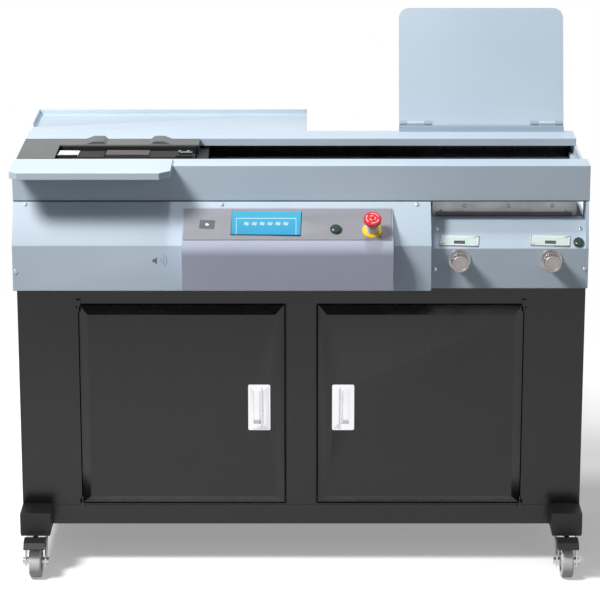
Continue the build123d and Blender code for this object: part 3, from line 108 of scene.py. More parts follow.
def new_material(name):
    """An empty material with its tree, its output and the object coordinates its patterns read."""
    material = bpy.data.materials.new(name)
    material.use_nodes = True
    tree = material.node_tree
    tree.nodes.clear()
    output = add_node(tree, "ShaderNodeOutputMaterial")
    place = add_node(tree, "ShaderNodeTexCoord").outputs["Object"]
    return material, tree, output, place


def per_metre(size_mm):
    """The scale of a texture whose features are this many millimetres wide."""
    return 1.0 / (size_mm * MM)


# A noise lies mostly between these two values, so this middle range is what a pattern spreads out.
PATTERN = {"From Min": 0.3, "From Max": 0.7}


def powder_coat(name, colour, deep, roughness=0.42, peel=0.05):
    """Powder coated sheet steel: a fine orange peel, drawn 5 mm wide so that it shows at this distance,
    and a slow drift of tone where the coat was sprayed thicker."""
    material, tree, output, place = new_material(name)
    drift = add_node(tree, "ShaderNodeTexNoise", {"Vector": place, "Scale": per_metre(260), "Detail": 2.0})
    grain = add_node(tree, "ShaderNodeTexNoise", {"Vector": place, "Scale": per_metre(5), "Detail": 3.0})
    rub = add_node(tree, "ShaderNodeTexNoise",
                   {"Vector": place, "Scale": per_metre(70), "Detail": 5.0, "Roughness": 0.65})
    bump = add_node(tree, "ShaderNodeBump",
                    {"Strength": peel, "Distance": 0.0004, "Height": grain.outputs["Fac"]})
    thickness = add_node(tree, "ShaderNodeMapRange", {"Value": drift.outputs["Fac"], **PATTERN})
    tone = add_node(tree, "ShaderNodeMix",
                    {0: thickness.outputs["Result"], 6: linear(deep), 7: linear(colour)}, data_type="RGBA")
    gloss = add_node(tree, "ShaderNodeMapRange",
                     {"Value": rub.outputs["Fac"], **PATTERN, "To Min": roughness - 0.05,
                      "To Max": roughness + 0.06})
    paint = add_node(tree, "ShaderNodeBsdfPrincipled",
                     {"Base Color": tone.outputs[2], "Roughness": gloss.outputs["Result"],
                      "Normal": bump.outputs["Normal"], "IOR": 1.5})
    tree.links.new(paint.outputs["BSDF"], output.inputs["Surface"])
    return material


def worked_metal(name, colour, deep, roughness=0.3, stretch=(0.04, 1.0, 1.0)):
    """Ground, drawn or blasted metal: fine lines 1.6 mm wide along the stretched axis, which is as
    coarse as they need to be to show, and a little uneven polish."""
    material, tree, output, place = new_material(name)
    turned = add_node(tree, "ShaderNodeMapping", {"Vector": place, "Scale": stretch})
    lines = add_node(tree, "ShaderNodeTexNoise",
                     {"Vector": turned.outputs["Vector"], "Scale": per_metre(1.6), "Detail": 4.0,
                      "Roughness": 0.6})
    stain = add_node(tree, "ShaderNodeTexNoise", {"Vector": place, "Scale": per_metre(45), "Detail": 4.0})
    bump = add_node(tree, "ShaderNodeBump",
                    {"Strength": 0.25, "Distance": 0.0002, "Height": lines.outputs["Fac"]})
    stained = add_node(tree, "ShaderNodeMapRange",
                       {"Value": stain.outputs["Fac"], **PATTERN, "To Min": 0.2, "To Max": 1.0})
    tone = add_node(tree, "ShaderNodeMix",
                    {0: stained.outputs["Result"], 6: linear(deep), 7: linear(colour)}, data_type="RGBA")
    polish = add_node(tree, "ShaderNodeMapRange",
                      {"Value": lines.outputs["Fac"], **PATTERN, "To Min": roughness - 0.07,
                       "To Max": roughness + 0.09})
    metal = add_node(tree, "ShaderNodeBsdfPrincipled",
                     {"Base Color": tone.outputs[2], "Metallic": 1.0,
                      "Roughness": polish.outputs["Result"], "Normal": bump.outputs["Normal"]})
    tree.links.new(metal.outputs["BSDF"], output.inputs["Surface"])
    return material


def plated(name, colour, roughness=0.12):
    """Chrome or bright zinc plate: nearly a mirror, with faint cloudy wipe marks."""
    material, tree, output, place = new_material(name)
    wipe = add_node(tree, "ShaderNodeTexNoise", {"Vector": place, "Scale": per_metre(18), "Detail": 5.0})
    haze = add_node(tree, "ShaderNodeMapRange",
                    {"Value": wipe.outputs["Fac"], **PATTERN, "To Min": roughness - 0.03,
                     "To Max": roughness + 0.08})
    metal = add_node(tree, "ShaderNodeBsdfPrincipled",
                     {"Base Color": linear(colour), "Metallic": 1.0, "Roughness": haze.outputs["Result"]})
    tree.links.new(metal.outputs["BSDF"], output.inputs["Surface"])
    return material


def moulded(name, colour, deep, roughness=0.35, coat=0.0):
    """Injection moulded plastic: an even colour under the spark-eroded grain of its mould, drawn 1.2 mm
    wide so that it shows."""
    material, tree, output, place = new_material(name)
    grain = add_node(tree, "ShaderNodeTexNoise", {"Vector": place, "Scale": per_metre(1.2), "Detail": 2.0})
    flow = add_node(tree, "ShaderNodeTexNoise", {"Vector": place, "Scale": per_metre(22), "Detail": 2.0})
    bump = add_node(tree, "ShaderNodeBump",
                    {"Strength": 0.12, "Distance": 0.0001, "Height": grain.outputs["Fac"]})
    flowed = add_node(tree, "ShaderNodeMapRange",
                      {"Value": flow.outputs["Fac"], **PATTERN, "To Min": 0.3, "To Max": 1.0})
    tone = add_node(tree, "ShaderNodeMix",
                    {0: flowed.outputs["Result"], 6: linear(deep), 7: linear(colour)}, data_type="RGBA")
    gloss = add_node(tree, "ShaderNodeMapRange",
                     {"Value": grain.outputs["Fac"], **PATTERN, "To Min": roughness - 0.03,
                      "To Max": roughness + 0.04})
    plastic = add_node(tree, "ShaderNodeBsdfPrincipled",
                       {"Base Color": tone.outputs[2], "Roughness": gloss.outputs["Result"],
                        "Coat Weight": coat, "Normal": bump.outputs["Normal"], "IOR": 1.49})
    tree.links.new(plastic.outputs["BSDF"], output.inputs["Surface"])
    return material


def lit_screen(name, top, bottom, line, left, right, low, high):
    """A backlit touch screen: a slow fall of colour down the glass and a pale frame line near its edge.
    The place on the glass comes from object coordinates, in metres, within an x and z range. The line is
    where both distances from the middle are within the outer reach, and not both are within the inner
    one."""
    material, tree, output, place = new_material(name)
    axes = add_node(tree, "ShaderNodeSeparateXYZ", {"Vector": place})
    across = add_node(tree, "ShaderNodeMapRange",
                      {"Value": axes.outputs["X"], "From Min": left, "From Max": right})
    upward = add_node(tree, "ShaderNodeMapRange",
                      {"Value": axes.outputs["Z"], "From Min": low, "From Max": high})
    fall = add_node(tree, "ShaderNodeMix",
                    {0: upward.outputs["Result"], 6: linear(bottom), 7: linear(top)}, data_type="RGBA")
    edges = []
    for source, inset, width in ((across, 0.085, 0.01), (upward, 0.25, 0.03)):
        fold = add_node(tree, "ShaderNodeMath", {0: source.outputs["Result"], 1: 0.5},
                        operation="SUBTRACT")
        away = add_node(tree, "ShaderNodeMath", {0: fold.outputs[0]}, operation="ABSOLUTE")
        edges.append((away, 0.5 - inset, width))
    inside = [add_node(tree, "ShaderNodeMath", {0: away.outputs[0], 1: reach + width},
                       operation="LESS_THAN")
              for away, reach, width in edges]
    within = [add_node(tree, "ShaderNodeMath", {0: away.outputs[0], 1: reach}, operation="LESS_THAN")
              for away, reach, width in edges]
    outer = add_node(tree, "ShaderNodeMath", {0: inside[0].outputs[0], 1: inside[1].outputs[0]},
                     operation="MULTIPLY")
    inner = add_node(tree, "ShaderNodeMath", {0: within[0].outputs[0], 1: within[1].outputs[0]},
                     operation="MULTIPLY")
    ring = add_node(tree, "ShaderNodeMath", {0: outer.outputs[0], 1: inner.outputs[0]},
                    operation="SUBTRACT")
    colour = add_node(tree, "ShaderNodeMix",
                      {0: ring.outputs[0], 6: fall.outputs[2], 7: linear(line)}, data_type="RGBA")
    glass = add_node(tree, "ShaderNodeBsdfPrincipled",
                     {"Base Color": (0.01, 0.02, 0.03, 1.0), "Roughness": 0.12, "IOR": 1.5,
                      "Emission Color": colour.outputs[2], "Emission Strength": 0.9})
    tree.links.new(glass.outputs["BSDF"], output.inputs["Surface"])
    return material


def glowing(name, colour, strength):
    """A backlit print: its own light under a glossy face, a little uneven as through a diffuser."""
    material, tree, output, place = new_material(name)
    haze = add_node(tree, "ShaderNodeTexNoise", {"Vector": place, "Scale": per_metre(9), "Detail": 1.0})
    light = add_node(tree, "ShaderNodeMapRange",
                     {"Value": haze.outputs["Fac"], **PATTERN, "To Min": strength - 0.12,
                      "To Max": strength})
    glass = add_node(tree, "ShaderNodeBsdfPrincipled",
                     {"Base Color": (0.02, 0.03, 0.04, 1.0), "Roughness": 0.15, "IOR": 1.5,
                      "Emission Color": linear(colour), "Emission Strength": light.outputs["Result"]})
    tree.links.new(glass.outputs["BSDF"], output.inputs["Surface"])
    return material


# Surfaces worked out as whole arrays

def rounded(corners, radius, steps=5):
    """A closed outline with round corners: at each corner an arc of the given radius, or a list of one
    radius per corner, runs between the two points where the circle touches the sides."""
    points = np.asarray(corners, float)
    radii = np.broadcast_to(np.asarray(radius, float), (len(points),)).copy()
    before = np.roll(points, 1, axis=0) - points
    after = np.roll(points, -1, axis=0) - points
    reach_before = np.linalg.norm(before, axis=1)
    reach_after = np.linalg.norm(after, axis=1)
    before /= reach_before[:, None]
    after /= reach_after[:, None]
    half = np.arccos(np.clip((before * after).sum(1), -1, 1)) / 2
    tangent = np.minimum(radii / np.tan(half), 0.48 * np.minimum(reach_before, reach_after))
    radii = tangent * np.tan(half)
    bisector = before + after
    bisector /= np.maximum(np.linalg.norm(bisector, axis=1), 1e-9)[:, None]
    centre = points + bisector * (radii / np.sin(half))[:, None]
    start = points + before * tangent[:, None] - centre
    turn = np.pi - 2 * half
    cross = np.sign(start[:, 0] * after[:, 1] - start[:, 1] * after[:, 0])
    angle = np.linspace(0, 1, steps)[None, :] * (turn * cross)[:, None]
    arc = np.stack([start[:, None, 0] * np.cos(angle) - start[:, None, 1] * np.sin(angle),
                    start[:, None, 0] * np.sin(angle) + start[:, None, 1] * np.cos(angle)], axis=-1)
    return (centre[:, None, :] + arc).reshape(-1, 2)


def inset_outline(outline, distance):
    """The outline moved inwards along the mean normal at each point. The sign of the area, which is the
    sum of the cross products of neighbouring points, says which side is in."""
    after = np.roll(outline, -1, axis=0)
    area = (outline[:, 0] * after[:, 1] - after[:, 0] * outline[:, 1]).sum()
    edge = after - outline
    edge /= np.maximum(np.linalg.norm(edge, axis=1), 1e-9)[:, None]
    normal = np.stack([-edge[:, 1], edge[:, 0]], axis=1) * np.sign(area)
    mean = normal + np.roll(normal, 1, axis=0)
    mean /= np.maximum((mean * mean).sum(1) / 2, 0.3)[:, None]
    return outline + mean * distance


def grid_quads(rows, columns):
    """The quads of a grid of points, closed round its columns: a point's number is its row times the
    count of columns, plus its column."""
    here = np.arange(rows - 1)[:, None] * columns
    column = np.arange(columns)[None, :]
    following = (column + 1) % columns
    above = here + columns
    corners = (here + column, here + following, above + following, above + column)
    return np.stack(np.broadcast_arrays(*corners), axis=-1).reshape(-1, 4)


def slab(outline, height, edge=0.6, steps=4, foot=0.0):
    """A solid whose section is the outline: its rings rise from the foot, and follow a quarter circle
    of the edge radius inwards at the top. Returns points (u, v, height) and faces."""
    quarter = np.linspace(0, np.pi / 2, steps)
    insets = np.concatenate([[0.0], edge * (1 - np.cos(quarter))])
    levels = np.concatenate([[foot], height - edge + edge * np.sin(quarter)])
    rings = [np.column_stack([inset_outline(outline, inset), np.full(len(outline), level)])
             for inset, level in zip(insets, levels)]
    count = len(outline)
    faces = grid_quads(len(rings), count).tolist()
    faces += [list(range(count - 1, -1, -1)), list(range((len(rings) - 1) * count, len(rings) * count))]
    return np.concatenate(rings), faces


def turned(profile, around=48, flutes=0, flute_depth=0.0, flute_span=(0.0, 0.0)):
    """A solid turned about its height axis: each profile point is a radius and a height, and goes round
    by the cosine and sine of the angle. Where the height is within the flute span, the radius is
    lowered by flute_depth times a power of a cosine wave."""
    profile = np.asarray(profile, float)
    angle = np.linspace(0, 2 * np.pi, around, endpoint=False)
    radius = np.repeat(profile[:, :1], around, axis=1)
    if flutes:
        inside = (profile[:, 1] >= flute_span[0]) & (profile[:, 1] <= flute_span[1])
        wave = np.maximum(np.cos(angle * flutes), 0.0) ** 0.8
        radius = radius - inside[:, None] * flute_depth * wave[None, :]
    points = np.stack([radius * np.cos(angle), radius * np.sin(angle),
                       np.repeat(profile[:, 1:], around, axis=1)], axis=-1).reshape(-1, 3)
    return points, grid_quads(len(profile), around).tolist()


def arc_profile(radius, centre, start, end, steps=8):
    """Points of an arc in a profile, between two angles in degrees."""
    angle = np.radians(np.linspace(start, end, steps))
    across = centre[0] + radius * np.cos(angle)
    upward = centre[1] + radius * np.sin(angle)
    return np.stack([across, upward], axis=1).tolist()


def stand(points, origin, across=(1, 0, 0), outward=(0, -1, 0)):
    """Stands local points (u, v, height) on a face: u along across, height along outward."""
    across = np.asarray(across, float)
    outward = np.asarray(outward, float)
    up = np.cross(outward, across)
    return np.asarray(origin, float) + points @ np.stack([across, up, outward])


def join(*shapes):
    """Several shapes as one set of points and faces."""
    points, faces, start = [], [], 0
    for shape_points, shape_faces in shapes:
        points.append(shape_points)
        faces += [[index + start for index in face] for face in shape_faces]
        start += len(shape_points)
    return np.concatenate(points), faces


def make_piece(name, shape, finish, body, replaced=()):
    """Makes the mesh object of a shape in metres, closes its seams and poles, and lets it ride on a
    body."""
    points, faces = shape
    mesh = bpy.data.meshes.new(name)
    mesh.from_pydata(((points + np.array([0.0, FASCIA_Y, 0.0])) * MM).tolist(), [], faces)
    mesh.materials.append(FINISHES[finish])
    tidy_mesh(mesh, math.radians(35))
    piece = bpy.data.objects.new(name, mesh)
    bpy.context.scene.collection.objects.link(piece)
    flats = piece.modifiers.new("flat_faces_stay_flat", "WEIGHTED_NORMAL")
    flats.keep_sharp = True
    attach(piece, body)
    if replaced:
        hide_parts(*replaced)
    return piece


def smooth_faces(mesh):
    """Shades every face of a mesh smooth."""
    mesh.polygons.foreach_set("use_smooth", np.ones(len(mesh.polygons), bool))


def tidy_mesh(mesh, sharp_angle):
    """Merges doubles, turns every face outwards and marks the edges that stay sharp."""
    work = bmesh.new()
    work.from_mesh(mesh)
    bmesh.ops.remove_doubles(work, verts=work.verts, dist=MERGE_DISTANCE)
    bmesh.ops.dissolve_degenerate(work, edges=work.edges, dist=SHORTEST_EDGE)
    bmesh.ops.recalc_face_normals(work, faces=work.faces)
    work.to_mesh(mesh)
    work.free()
    smooth_faces(mesh)
    mesh.set_sharp_from_angle(angle=sharp_angle)
    mesh.update()


def take_off_rings(work, rings):
    """Deletes the rings that stand on a face: the points within the outer radius of an axis that are
    above the face, or between the two radii at its foot. Each ring is (centre, outward, inner, outer),
    in mm."""
    places = np.array([vertex.co for vertex in work.verts]) / MM - np.array([0.0, FASCIA_Y, 0.0])
    drop = np.zeros(len(places), bool)
    for centre, outward, inner, outer in rings:
        offset = places - centre
        height = offset @ outward
        away = np.linalg.norm(offset - height[:, None] * outward, axis=1)
        standing = (height > -RING_FOOT) & (height < RING_TOP)
        drop |= (away < outer) & standing & ((height > RING_FOOT) | (away > inner))
    work.verts.ensure_lookup_table()
    bmesh.ops.delete(work, geom=[work.verts[i] for i in np.flatnonzero(drop)], context="VERTS")


def softened(node, width=0.8, segments=2, rings=()):
    """The node's folded shape with its edges rounded as a press brake leaves them: a merged copy of the
    CAD mesh whose flat faces are rejoined, with a bevel on every edge that turns by more than 25
    degrees."""
    mesh = nodes[node].data.copy()
    mesh.name = node + "_soft"
    mesh.materials.clear()
    mesh.materials.append(finish_of(node))
    work = bmesh.new()
    work.from_mesh(mesh)
    bmesh.ops.remove_doubles(work, verts=work.verts, dist=MERGE_DISTANCE)
    if rings:
        take_off_rings(work, rings)
    bmesh.ops.dissolve_limit(work, angle_limit=FLAT_ANGLE, use_dissolve_boundaries=False,
                             verts=work.verts, edges=work.edges)
    bmesh.ops.recalc_face_normals(work, faces=work.faces)
    work.to_mesh(mesh)
    work.free()
    piece = bpy.data.objects.new("soft_" + node, mesh)
    bpy.context.scene.collection.objects.link(piece)
    bevel = piece.modifiers.new("rounded_edges", "BEVEL")
    bevel.width = width * MM
    bevel.segments = segments
    bevel.limit_method = "ANGLE"
    bevel.angle_limit = FOLD_ANGLE
    bevel.use_clamp_overlap = True
    bevel.harden_normals = True
    bevel.miter_outer = "MITER_ARC"
    smooth_faces(mesh)
    mesh.set_sharp_from_angle(angle=FOLD_ANGLE)
    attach(piece, NODE_BODIES[node])
    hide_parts(node)
    return piece


# Finishes

class MachineColours(bpy.types.PropertyGroup):
    """Colours of the machine's finishes, as sRGB hex values."""
    housing: StringProperty(
        name="Housing", description="Powder coat of the upper covers", default="#BECEDD")
    housing_deep: StringProperty(
        name="Housing, thicker", description="The same coat where it is thicker", default="#B7C8D8")
    console: StringProperty(
        name="Console", description="Powder coat of the console", default="#A8AEC2")
    panel: StringProperty(
        name="Panel", description="Film on the console's slope", default="#8D8F97")
    cabinet: StringProperty(
        name="Cabinet", description="Powder coat of the cabinet", default="#09090B")
    carriage: StringProperty(
        name="Carriage", description="Enamel of the clamp carriage", default="#606364")
    counter: StringProperty(
        name="Counters", description="Moulded body of the counters", default="#CFE6E2")
    stop_red: StringProperty(
        name="Stop head", description="Moulded mushroom head", default="#D21F2E")
    stop_yellow: StringProperty(
        name="Stop disc", description="Disc under the stop", default="#E8C93A")
    screen_top: StringProperty(
        name="Screen, top", description="Upper colour of the lit screen", default="#45C6EE")
    screen_bottom: StringProperty(
        name="Screen, bottom", description="Lower colour of the lit screen", default="#1FA3DC")


class MachineSizes(bpy.types.PropertyGroup):
    """Small sizes of the machine's finish, in millimetres."""
    fold_radius: FloatProperty(
        name="Fold radius", description="Outer radius of the sheet's folds, mm", default=1.2,
        min=0.2, max=3.0)
    knob_flutes: IntProperty(
        name="Knob flutes", description="Flutes round each knob", default=12, min=6, max=36)
    tick_count: IntProperty(
        name="Dial ticks", description="Ticks on each dial ring", default=24, min=8, max=60)
    screw_radius: FloatProperty(
        name="Screw radius", description="Radius of a cover screw's head, mm", default=4.0,
        min=2.0, max=8.0)


FINISHES = {}


def build_finishes(colours):
    """One material for each slot of the record, and the few that only the looks need."""
    lit_glass = lit_screen("backlit_glass", colours.screen_top, colours.screen_bottom, "#BFEFFF",
                           *screen_edges())
    FINISHES.update({
        # Sprayed powder, baked: even and satin, with broad soft highlights and a faint orange peel
        "housing_paint": powder_coat("powder_coated_steel_blue_grey", colours.housing,
                                     colours.housing_deep),
        "console_paint": powder_coat("powder_coated_steel_mid_grey", colours.console, "#A1A7BB", 0.34),
        # A darker copy of the housing coat, as painted shade on the band under the lid
        "band_paint": powder_coat("powder_coated_steel_shaded", "#A6B5C2", "#A0AFBC"),
        # The cabinet's dark powder is glossier, so that its bevels catch a line of light
        "cabinet_paint": powder_coat("powder_coated_steel_charcoal", colours.cabinet, "#070709",
                                     0.26, 0.06),
        # Duller dark coats on what lies low or moves: no clear highlight. The outriggers' coat is darker
        # than the cabinet's, as painted shade low by the floor
        "channel_paint": powder_coat("channel_matt_black_painted_shade", "#030304", "#020203", 0.55, 0.06),
        "black_steel": powder_coat("blackened_steel", "#0B0A0C", "#080709", 0.55, 0.1),
        "jaw_black": powder_coat("blackened_jaw", "#060505", "#040404", 0.6, 0.1),
        # Enamels: brushed or dipped, thicker than powder; the hammered one has a strong peel
        "carriage_paint": powder_coat("enamelled_steel_grey", colours.carriage, "#5B5E5F", 0.46),
        "machine_grey": powder_coat("hammered_enamel_grey", "#5B6168", "#4E545B", 0.38, 0.25),
        "box_paint": powder_coat("baked_enamel_beige", "#D9D9D0", "#D1D1C8"),
        # Ground and drawn metals: lines along the work draw the highlight out across them
        "bare_steel": worked_metal("ground_steel", "#A4A6A8", "#8E9194", 0.34),
        "strip_grey": worked_metal("ground_clamp_strip", "#6E6B6D", "#646163", 0.45),
        "profile_aluminium": worked_metal("anodised_aluminium", "#C9C4BC", "#BEB9B1", 0.3,
                                          (1.0, 0.05, 1.0)),
        # Blasted nickel: the grain runs no way, so its shine is round and soft
        "knob_metal": worked_metal("bead_blasted_nickel", "#A8A09F", "#9A9291", 0.34, (1.0, 1.0, 1.0)),
        "dial_satin": worked_metal("satin_nickel_dial", "#B4B2B3", "#A9A7A8", 0.36, (1.0, 1.0, 1.0)),
        # Chrome and zinc plate: mirrors the studio, sharper on chrome than on zinc
        "rod_steel": plated("hard_chromed_steel", "#C9CBCE", 0.1),
        "pull_chrome": plated("satin_chromed_zinc", "#E4E5E8", 0.16),
        "screw_zinc": plated("zinc_plated_steel", "#B9BDC4", 0.28),
        "caster_zinc": plated("bright_zinc_pressed_steel", "#C4C7CB", 0.2),
        # Moulded plastics: one even colour, with a small highlight that the mould's grain breaks up
        "counter_plastic": moulded("moulded_abs_mint", colours.counter, "#C6DEDA", 0.3, 0.2),
        "collar_white": moulded("moulded_abs_white", "#E9EAEA", "#DFE1E2", 0.35),
        "estop_base": moulded("moulded_abs_yellow", colours.stop_yellow, "#E2C132", 0.35),
        "estop_red": moulded("moulded_acetal_red", colours.stop_red, "#C81B2A", 0.28, 0.3),
        "button_green": moulded("moulded_lens_green", "#143C30", "#0F3228", 0.2, 0.4),
        "wheel_nylon": moulded("cast_nylon_white", "#F1F2F3", "#EAEBEC", 0.4),
        "inlet_plastic": moulded("moulded_nylon_black", "#1B1B1D", "#161618", 0.45),
        "pedal_black": moulded("moulded_nylon_pedal", "#0B0B0D", "#09090B", 0.55),
        "rim_teal": moulded("moulded_rim_dark_teal", "#2A5560", "#244C56", 0.35),
        # Matt black foam for seals: open cells take the shine away. The same black draws the dial ticks,
        # and the painted shade in the gaps of the lower beam, beside the doors and under the nip bar
        "gasket": moulded("matt_black_seals_ticks_and_gap_shade", "#121214", "#0E0E10", 0.8),
        # Clear acrylic over black: the clear coat gives a hard bright reflection
        "window_black": moulded("smoked_acrylic", "#0C0D10", "#090A0C", 0.08, 0.8),
        # Films and prints: flat colour, nearly matt. The grey print also draws the painted shade line
        # round the console's film, and the white print draws the painted glints on the buttons
        "panel_film": moulded("printed_polyester_film", colours.panel, "#878991", 0.45),
        "label_grey": moulded("printed_label_grey", "#5D6068", "#53565E", 0.5),
        "print_white": moulded("white_print_and_painted_glint", "#F2F6F7", "#ECF1F2", 0.4),
        "print_grey": moulded("grey_print_and_painted_shade", "#70747C", "#6A6E76", 0.45),
        "stop_print": moulded("pink_print", "#F3B7BA", "#EDAAAE", 0.4),
        # A seam's shaded gap: dull, so that it reads as depth
        "seam_grey": moulded("shaded_seam_grey", "#3F4854", "#39424D", 0.6),
        # Lit glass and the marks on it: their own light, with the studio mirrored faintly over it
        "screen": lit_glass,
        "lit_mark": glowing("backlit_plain_mark", "#C8F4FF", 0.85),
    })


def screen_edges():
    """The x and z range, in metres, that the screen's colours are spread over: the CAD screen's box, with
    its lower end raised a little because the housing behind the glass reaches lower than the glass."""
    low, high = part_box("touch_screen")
    housing_left_out = 4.0 * MM
    return low.x, high.x, low.z + housing_left_out, high.z


def finish_of(node):
    """The finish that the record gives this node."""
    return FINISHES[NODE_SLOTS[node]]


def dress_nodes():
    """Gives every CAD node the finish of its slot; the nodes that stay showing keep it."""
    for name, thing in nodes.items():
        thing.data.materials.clear()
        thing.data.materials.append(finish_of(name))
        smooth_faces(thing.data)


class BINDER_OT_finishes(bpy.types.Operator):
    """Make the finishes and give each CAD node its own"""
    bl_idname = "binder.finishes"
    bl_label = "Finishes"

    def execute(self, context):
        build_finishes(context.scene.binder_colours)
        dress_nodes()
        return {"FINISHED"}


# Sheet metal

SHEET_NODES = ("front_fascia", "lower_front_cover", "rear_rail", "rear_tray", "loading_table",
               "lid", "lid_bracket", "end_plates", "control_console", "cabinet_front_frame",
               "cabinet_walls", "outriggers", "deck_plate", "carriage_plate", "chip_bin",
               "electrical_box")
# Sheets whose coat differs a little from that of their slot: darker copies, as painted shade on the band
# under the lid and on the outriggers low by the floor
OWN_SHEET_FINISH = {"outriggers": "channel_paint", "lid_bracket": "band_paint"}
# The radii, in millimetres, between which the CAD's plain rings stand on their faces
DIAL_RING = (20.0, 26.0)
BUTTON_RING = (9.0, 16.0)


class BINDER_OT_covers(bpy.types.Operator):
    """Round the folds of the covers, the rail, the tray, the panel and the cabinet"""
    bl_idname = "binder.covers"
    bl_label = "Covers"

    def execute(self, context):
        radius = context.scene.binder_sizes.fold_radius
        for node in SHEET_NODES:
            sheet = softened(node, radius)
            if node in OWN_SHEET_FINISH:
                sheet.data.materials[0] = FINISHES[OWN_SHEET_FINISH[node]]
        to_front = np.array([0.0, -1.0, 0.0])
        dials = [(np.array([x, COVER_FRONT_Y, z]), to_front, *DIAL_RING) for x, z in KNOBS]
        button = standing_ring(NIP_FACE, SIDE_BUTTON, 0.0)
        softened("nip_station_cover", radius, rings=dials + [button])
        return {"FINISHED"}


class BINDER_OT_doors(bpy.types.Operator):
    """Round the doors' edges and those of their pulls"""
    bl_idname = "binder.doors"
    bl_label = "Doors"

    def execute(self, context):
        for side in ("left", "right"):
            softened(side + "_door", context.scene.binder_sizes.fold_radius)
            softened(side + "_door_handle", width=0.9, segments=3)
        return {"FINISHED"}


WORKS_NODES = ("carriage_frame", "clamp_rear_jaw", "clamp_front_jaw", "nip_front_jaw", "nip_rear_jaw",
               "nip_table", "glue_tank", "cutter_motor", "roller_motor", "drive_motor", "linear_drive")
# Name, finish, width, depth, corner radius, thickness, edge radius and the middle of the foot
JAW_SLABS = (
    ("clamp_strip", "strip_grey", 99, 50, 0.5, 11.0, 0.3, (-394.5, 130.0, 943.2)),
    ("clamp_left_plate", "collar_white", 48, 46, 1.5, 3.4, 0.5, (-528.5, 132.0, 950.0)),
    ("clamp_right_plate", "carriage_paint", 31, 40, 1.5, 3.0, 0.5, (-262.5, 130.0, 950.0)),
)
JAW_SCREWS = ((-537.0, 146.0, 953.4), (-515.0, 146.0, 953.4),
              (-277.0, 146.0, 953.0), (-257.0, 146.0, 953.0))


def jaw_fittings():
    """The clamp's ground strip between its arms and its two end plates, each a rectangle with round
    corners raised to its thickness, and the pan heads that hold the plates."""
    jaw_body = NODE_BODIES["clamp_front_jaw"]
    for name, finish, width, depth, corner, thickness, edge, place in JAW_SLABS:
        plate = slab(box_outline(width, depth, radius=corner), thickness, edge)
        make_piece(name, facing_up(plate, *place), finish, jaw_body)
    head = cross_screw(radius=3.4, height=2.4, slot=2.2, slot_width=0.6, depth=1.2)
    heads = [facing_up(head, *place) for place in JAW_SCREWS]
    make_piece("clamp_screw_heads", join(*heads), "screw_zinc", jaw_body)


class BINDER_OT_works(bpy.types.Operator):
    """Round the edges of the clamp, the cutter, the glue tank and the nip"""
    bl_idname = "binder.works"
    bl_label = "Works"

    def execute(self, context):
        for node in WORKS_NODES:
            work = softened(node, 0.6)
            if node.startswith("clamp"):
                work.data.materials[0] = FINISHES["jaw_black"]
        jaw_fittings()
        return {"FINISHED"}


# Faces that the small pieces stand on

ACROSS = np.array([1.0, 0.0, 0.0])


def sloping_face(top, bottom):
    """The face through two (y, z) points: its origin at the top, and the direction out of it."""
    run = math.dist(top, bottom)
    outward = np.array([0.0, (bottom[1] - top[1]) / run, (top[0] - bottom[0]) / run])
    return np.array([0.0, *top]), outward


CONSOLE_FACE = sloping_face((-12.42, 859.0), (-105.0, 788.9))
NIP_FACE = sloping_face((20.0, 823.0), (-25.0, 768.0))
COVER_FACE = sloping_face((-5.0, 870.0), (-63.0, 784.0))
# The y of the upright faces: the nip station's cover, the lower cover, the nip bar and the cabinet
COVER_FRONT_Y = -25.0
LOWER_COVER_Y = -63.0
NIP_BAR_Y = 60.0
CABINET_Y = 16.0
CONSOLE_LEFT = -264.0
CONSOLE_RIGHT = 204.0
# Places on a sloping face are an x and a distance down from its top; the screen's sizes come after its
SCREEN = (-77.7, 47.5, 157.6, 70.0)
START_BUTTON = (76.9, 64.6)
STOP = (157.1, 66.0)
LABEL = (-209.0, 49.5)
COUNTERS = ((353.9, 52.6), (557.8, 52.6))
SIDE_BUTTON = (620.5, 56.6)
# Places on an upright face are an x and a z
KNOBS = ((354.3, 742.0), (559.4, 742.0))
NIP_BAR_X, NIP_BAR_WIDTH = 458.0, 308.0
DOOR_LOW, DOOR_HIGH = 151.3, 626.5
SOUND_MARK = (-316.0, 750.0)
# The stop's mushroom head, and the profiles of what it stands on, as radii and heights
STOP_RADIUS = 20.0
STOP_TOP = 45.0
STOP_CROWN = 2.2
STOP_DISC = ((6.3, 1.5), (22.0, 1.5), (22.0, 2.6), (21.6, 3.0), (15.0, 3.2), (13.0, 4.7), (6.3, 4.7),
             (6.3, 1.5))
STOP_COLLAR = ((6.4, 2.0), (13.5, 2.0), (13.5, 8.0), (12.9, 8.6), (12.9, 9.6), (13.5, 10.2), (13.5, 20.6),
               (12.2, 22.0), (6.4, 22.0), (6.4, 2.0))


def standing_ring(face, place, base):
    """A button's ring in the CAD, as take_off_rings reads it."""
    origin, outward = face
    up = np.cross(outward, ACROSS)
    centre = origin + ACROSS * place[0] - up * place[1] + outward * base
    return centre, outward, *BUTTON_RING


def on_face(face, shape, x, along):
    """Stands a local shape on a sloping face, at an x and a distance down from its top."""
    origin, outward = face
    up = np.cross(outward, ACROSS)
    points, faces = shape
    return stand(points, origin + ACROSS * x - up * along, ACROSS, outward), faces


def facing_front(shape, x, y, z):
    """Stands a local shape on an upright face that looks to the front."""
    points, faces = shape
    return stand(points, (x, y, z)), faces


def facing_up(shape, x, y, z):
    """Stands a local shape on a level face, its v axis to the back."""
    points, faces = shape
    return stand(points, (x, y, z), ACROSS, (0.0, 0.0, 1.0)), faces


def box_outline(width, height, x=0.0, y=0.0, radius=1.0, steps=5):
    """A rectangle with round corners about a middle."""
    half = np.array([width / 2, height / 2])
    corners = np.array([(-1, -1), (1, -1), (1, 1), (-1, 1)]) * half + np.array([x, y])
    return rounded(corners, radius, steps)


